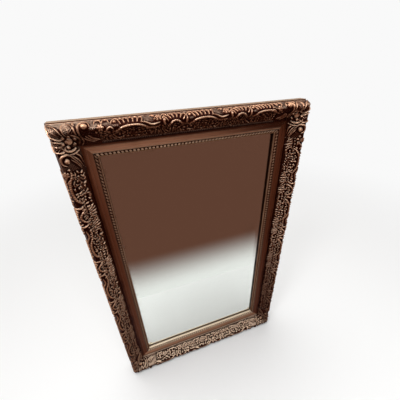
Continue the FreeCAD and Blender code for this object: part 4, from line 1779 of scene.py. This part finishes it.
    def lamp(self, name: str, place: Point, aim: Point, size: float, watts: float) -> None:
        """Hang one square soft lamp.

        Args:
            name: the lamp's name.
            place: where it hangs.
            aim: the point that it faces.
            size: its edge in metres.
            watts: its power.
        """
        data = bpy.data.lights.new(name, "AREA")
        data.size = size
        data.energy = watts
        made = self.hang(name, data)
        made.location = place
        away = np.array(place) - np.array(aim)
        flat = math.hypot(away[0], away[1])
        made.rotation_euler = (math.atan2(flat, away[2]), 0.0, math.atan2(away[0], -away[1]))

    def surround(self) -> None:
        """Set the world: white to the camera and in reflections, softer as a light."""
        s = Shader("surround", True)
        white = s.node("Background", {}, {"Color": (1.0,) * 4, "Strength": self.white})
        light = s.node("Background", {}, {"Color": (*self.ambient_tone, 1.0), "Strength": self.ambient})
        bpy.context.scene.world = s.close(s.node("MixShader", {}, {0: self.seen(s), 1: light, 2: white}))

    def build(self) -> None:
        """Set up camera, floor, card, lamps and surround."""
        bpy.context.scene.view_settings.view_transform = "Standard"
        self.camera()
        self.floor()
        self.card()
        self.sun()
        self.lamp("key", place=(-0.55, -0.58, 1.55), aim=(0.0, 0.0, -0.1), size=0.30, watts=8.0)
        self.lamp("fill", place=(0.15, -1.8, 0.9), aim=(0.0, 0.0, 0.0), size=0.9, watts=10.0)
        self.surround()


def main() -> None:
    """Build the mirror's visible pieces and the studio."""
    logging.basicConfig(level=logging.INFO, format="%(message)s")
    width = 2.0 * float(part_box("top_rail")[1][0])
    height = 2.0 * float(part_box("top_rail")[1][2])
    section = MouldingSection()
    ornament = BronzedOrnament(width / 2, height / 2).make()
    bead = GiltStrip(width / 2, height / 2).make()
    band = CarvedBand(ornament, "bronzed_ornament", section, width, height)
    band.build_runs()
    band.build_corners()
    SightStrip(bead, "bronzed_bead", section, width, height).build()
    BevelledPlate(PlateGlass().make(), "plate_glass").build()
    timber = BronzedTimber(width / 2, height / 2).make()
    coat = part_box("silvering")[1]
    board = GrainedWood("board", (0.40, 0.26, 0.14), (0.26, 0.155, 0.08), (1.0, 1.0, 0.05), 34.0)
    rubber = SoftMatt("pad_rubber", (0.022, 0.020, 0.018), (0.035, 0.032, 0.029), 900.0, 0.8)
    steel = WornMetal("brace_steel", (0.60, 0.60, 0.58), (0.34, 0.33, 0.31)).make()
    screw = WornMetal("steel_screw", (0.62, 0.61, 0.59), (0.36, 0.35, 0.33), 0.30).make()
    brass = WornMetal("hanger_brass", (0.72, 0.52, 0.22), (0.38, 0.25, 0.10), 0.30).make()
    finishes = {
        "top_rail": timber,
        "bottom_rail": timber,
        "left_stile": timber,
        "right_stile": timber,
        "silvering": SilverCoat(float(coat[0]), float(coat[2])).make(),
        "glass_shims": GrainedWood("shim_wood", (0.55, 0.38, 0.21), (0.38, 0.24, 0.12)).make(),
        "mitre_keys": GrainedWood("key_wood", (0.30, 0.17, 0.09), (0.18, 0.09, 0.045)).make(),
        "packing_sheet": SoftMatt("card", (0.33, 0.22, 0.13), (0.26, 0.17, 0.10), 400.0).make(),
        "backing_board": board.make(),
        "board_screws": brass,
        "brace_screws": screw,
        "hanger_screws": screw,
        "corner_brace": steel,
        "hanger_strap": brass,
        "hanger_ring": brass,
        "wall_pad": rubber.make(),
    }
    BackAndFittings(finishes).dress()
    Studio(-height / 2).build()


if __name__ == "__main__":
    main()
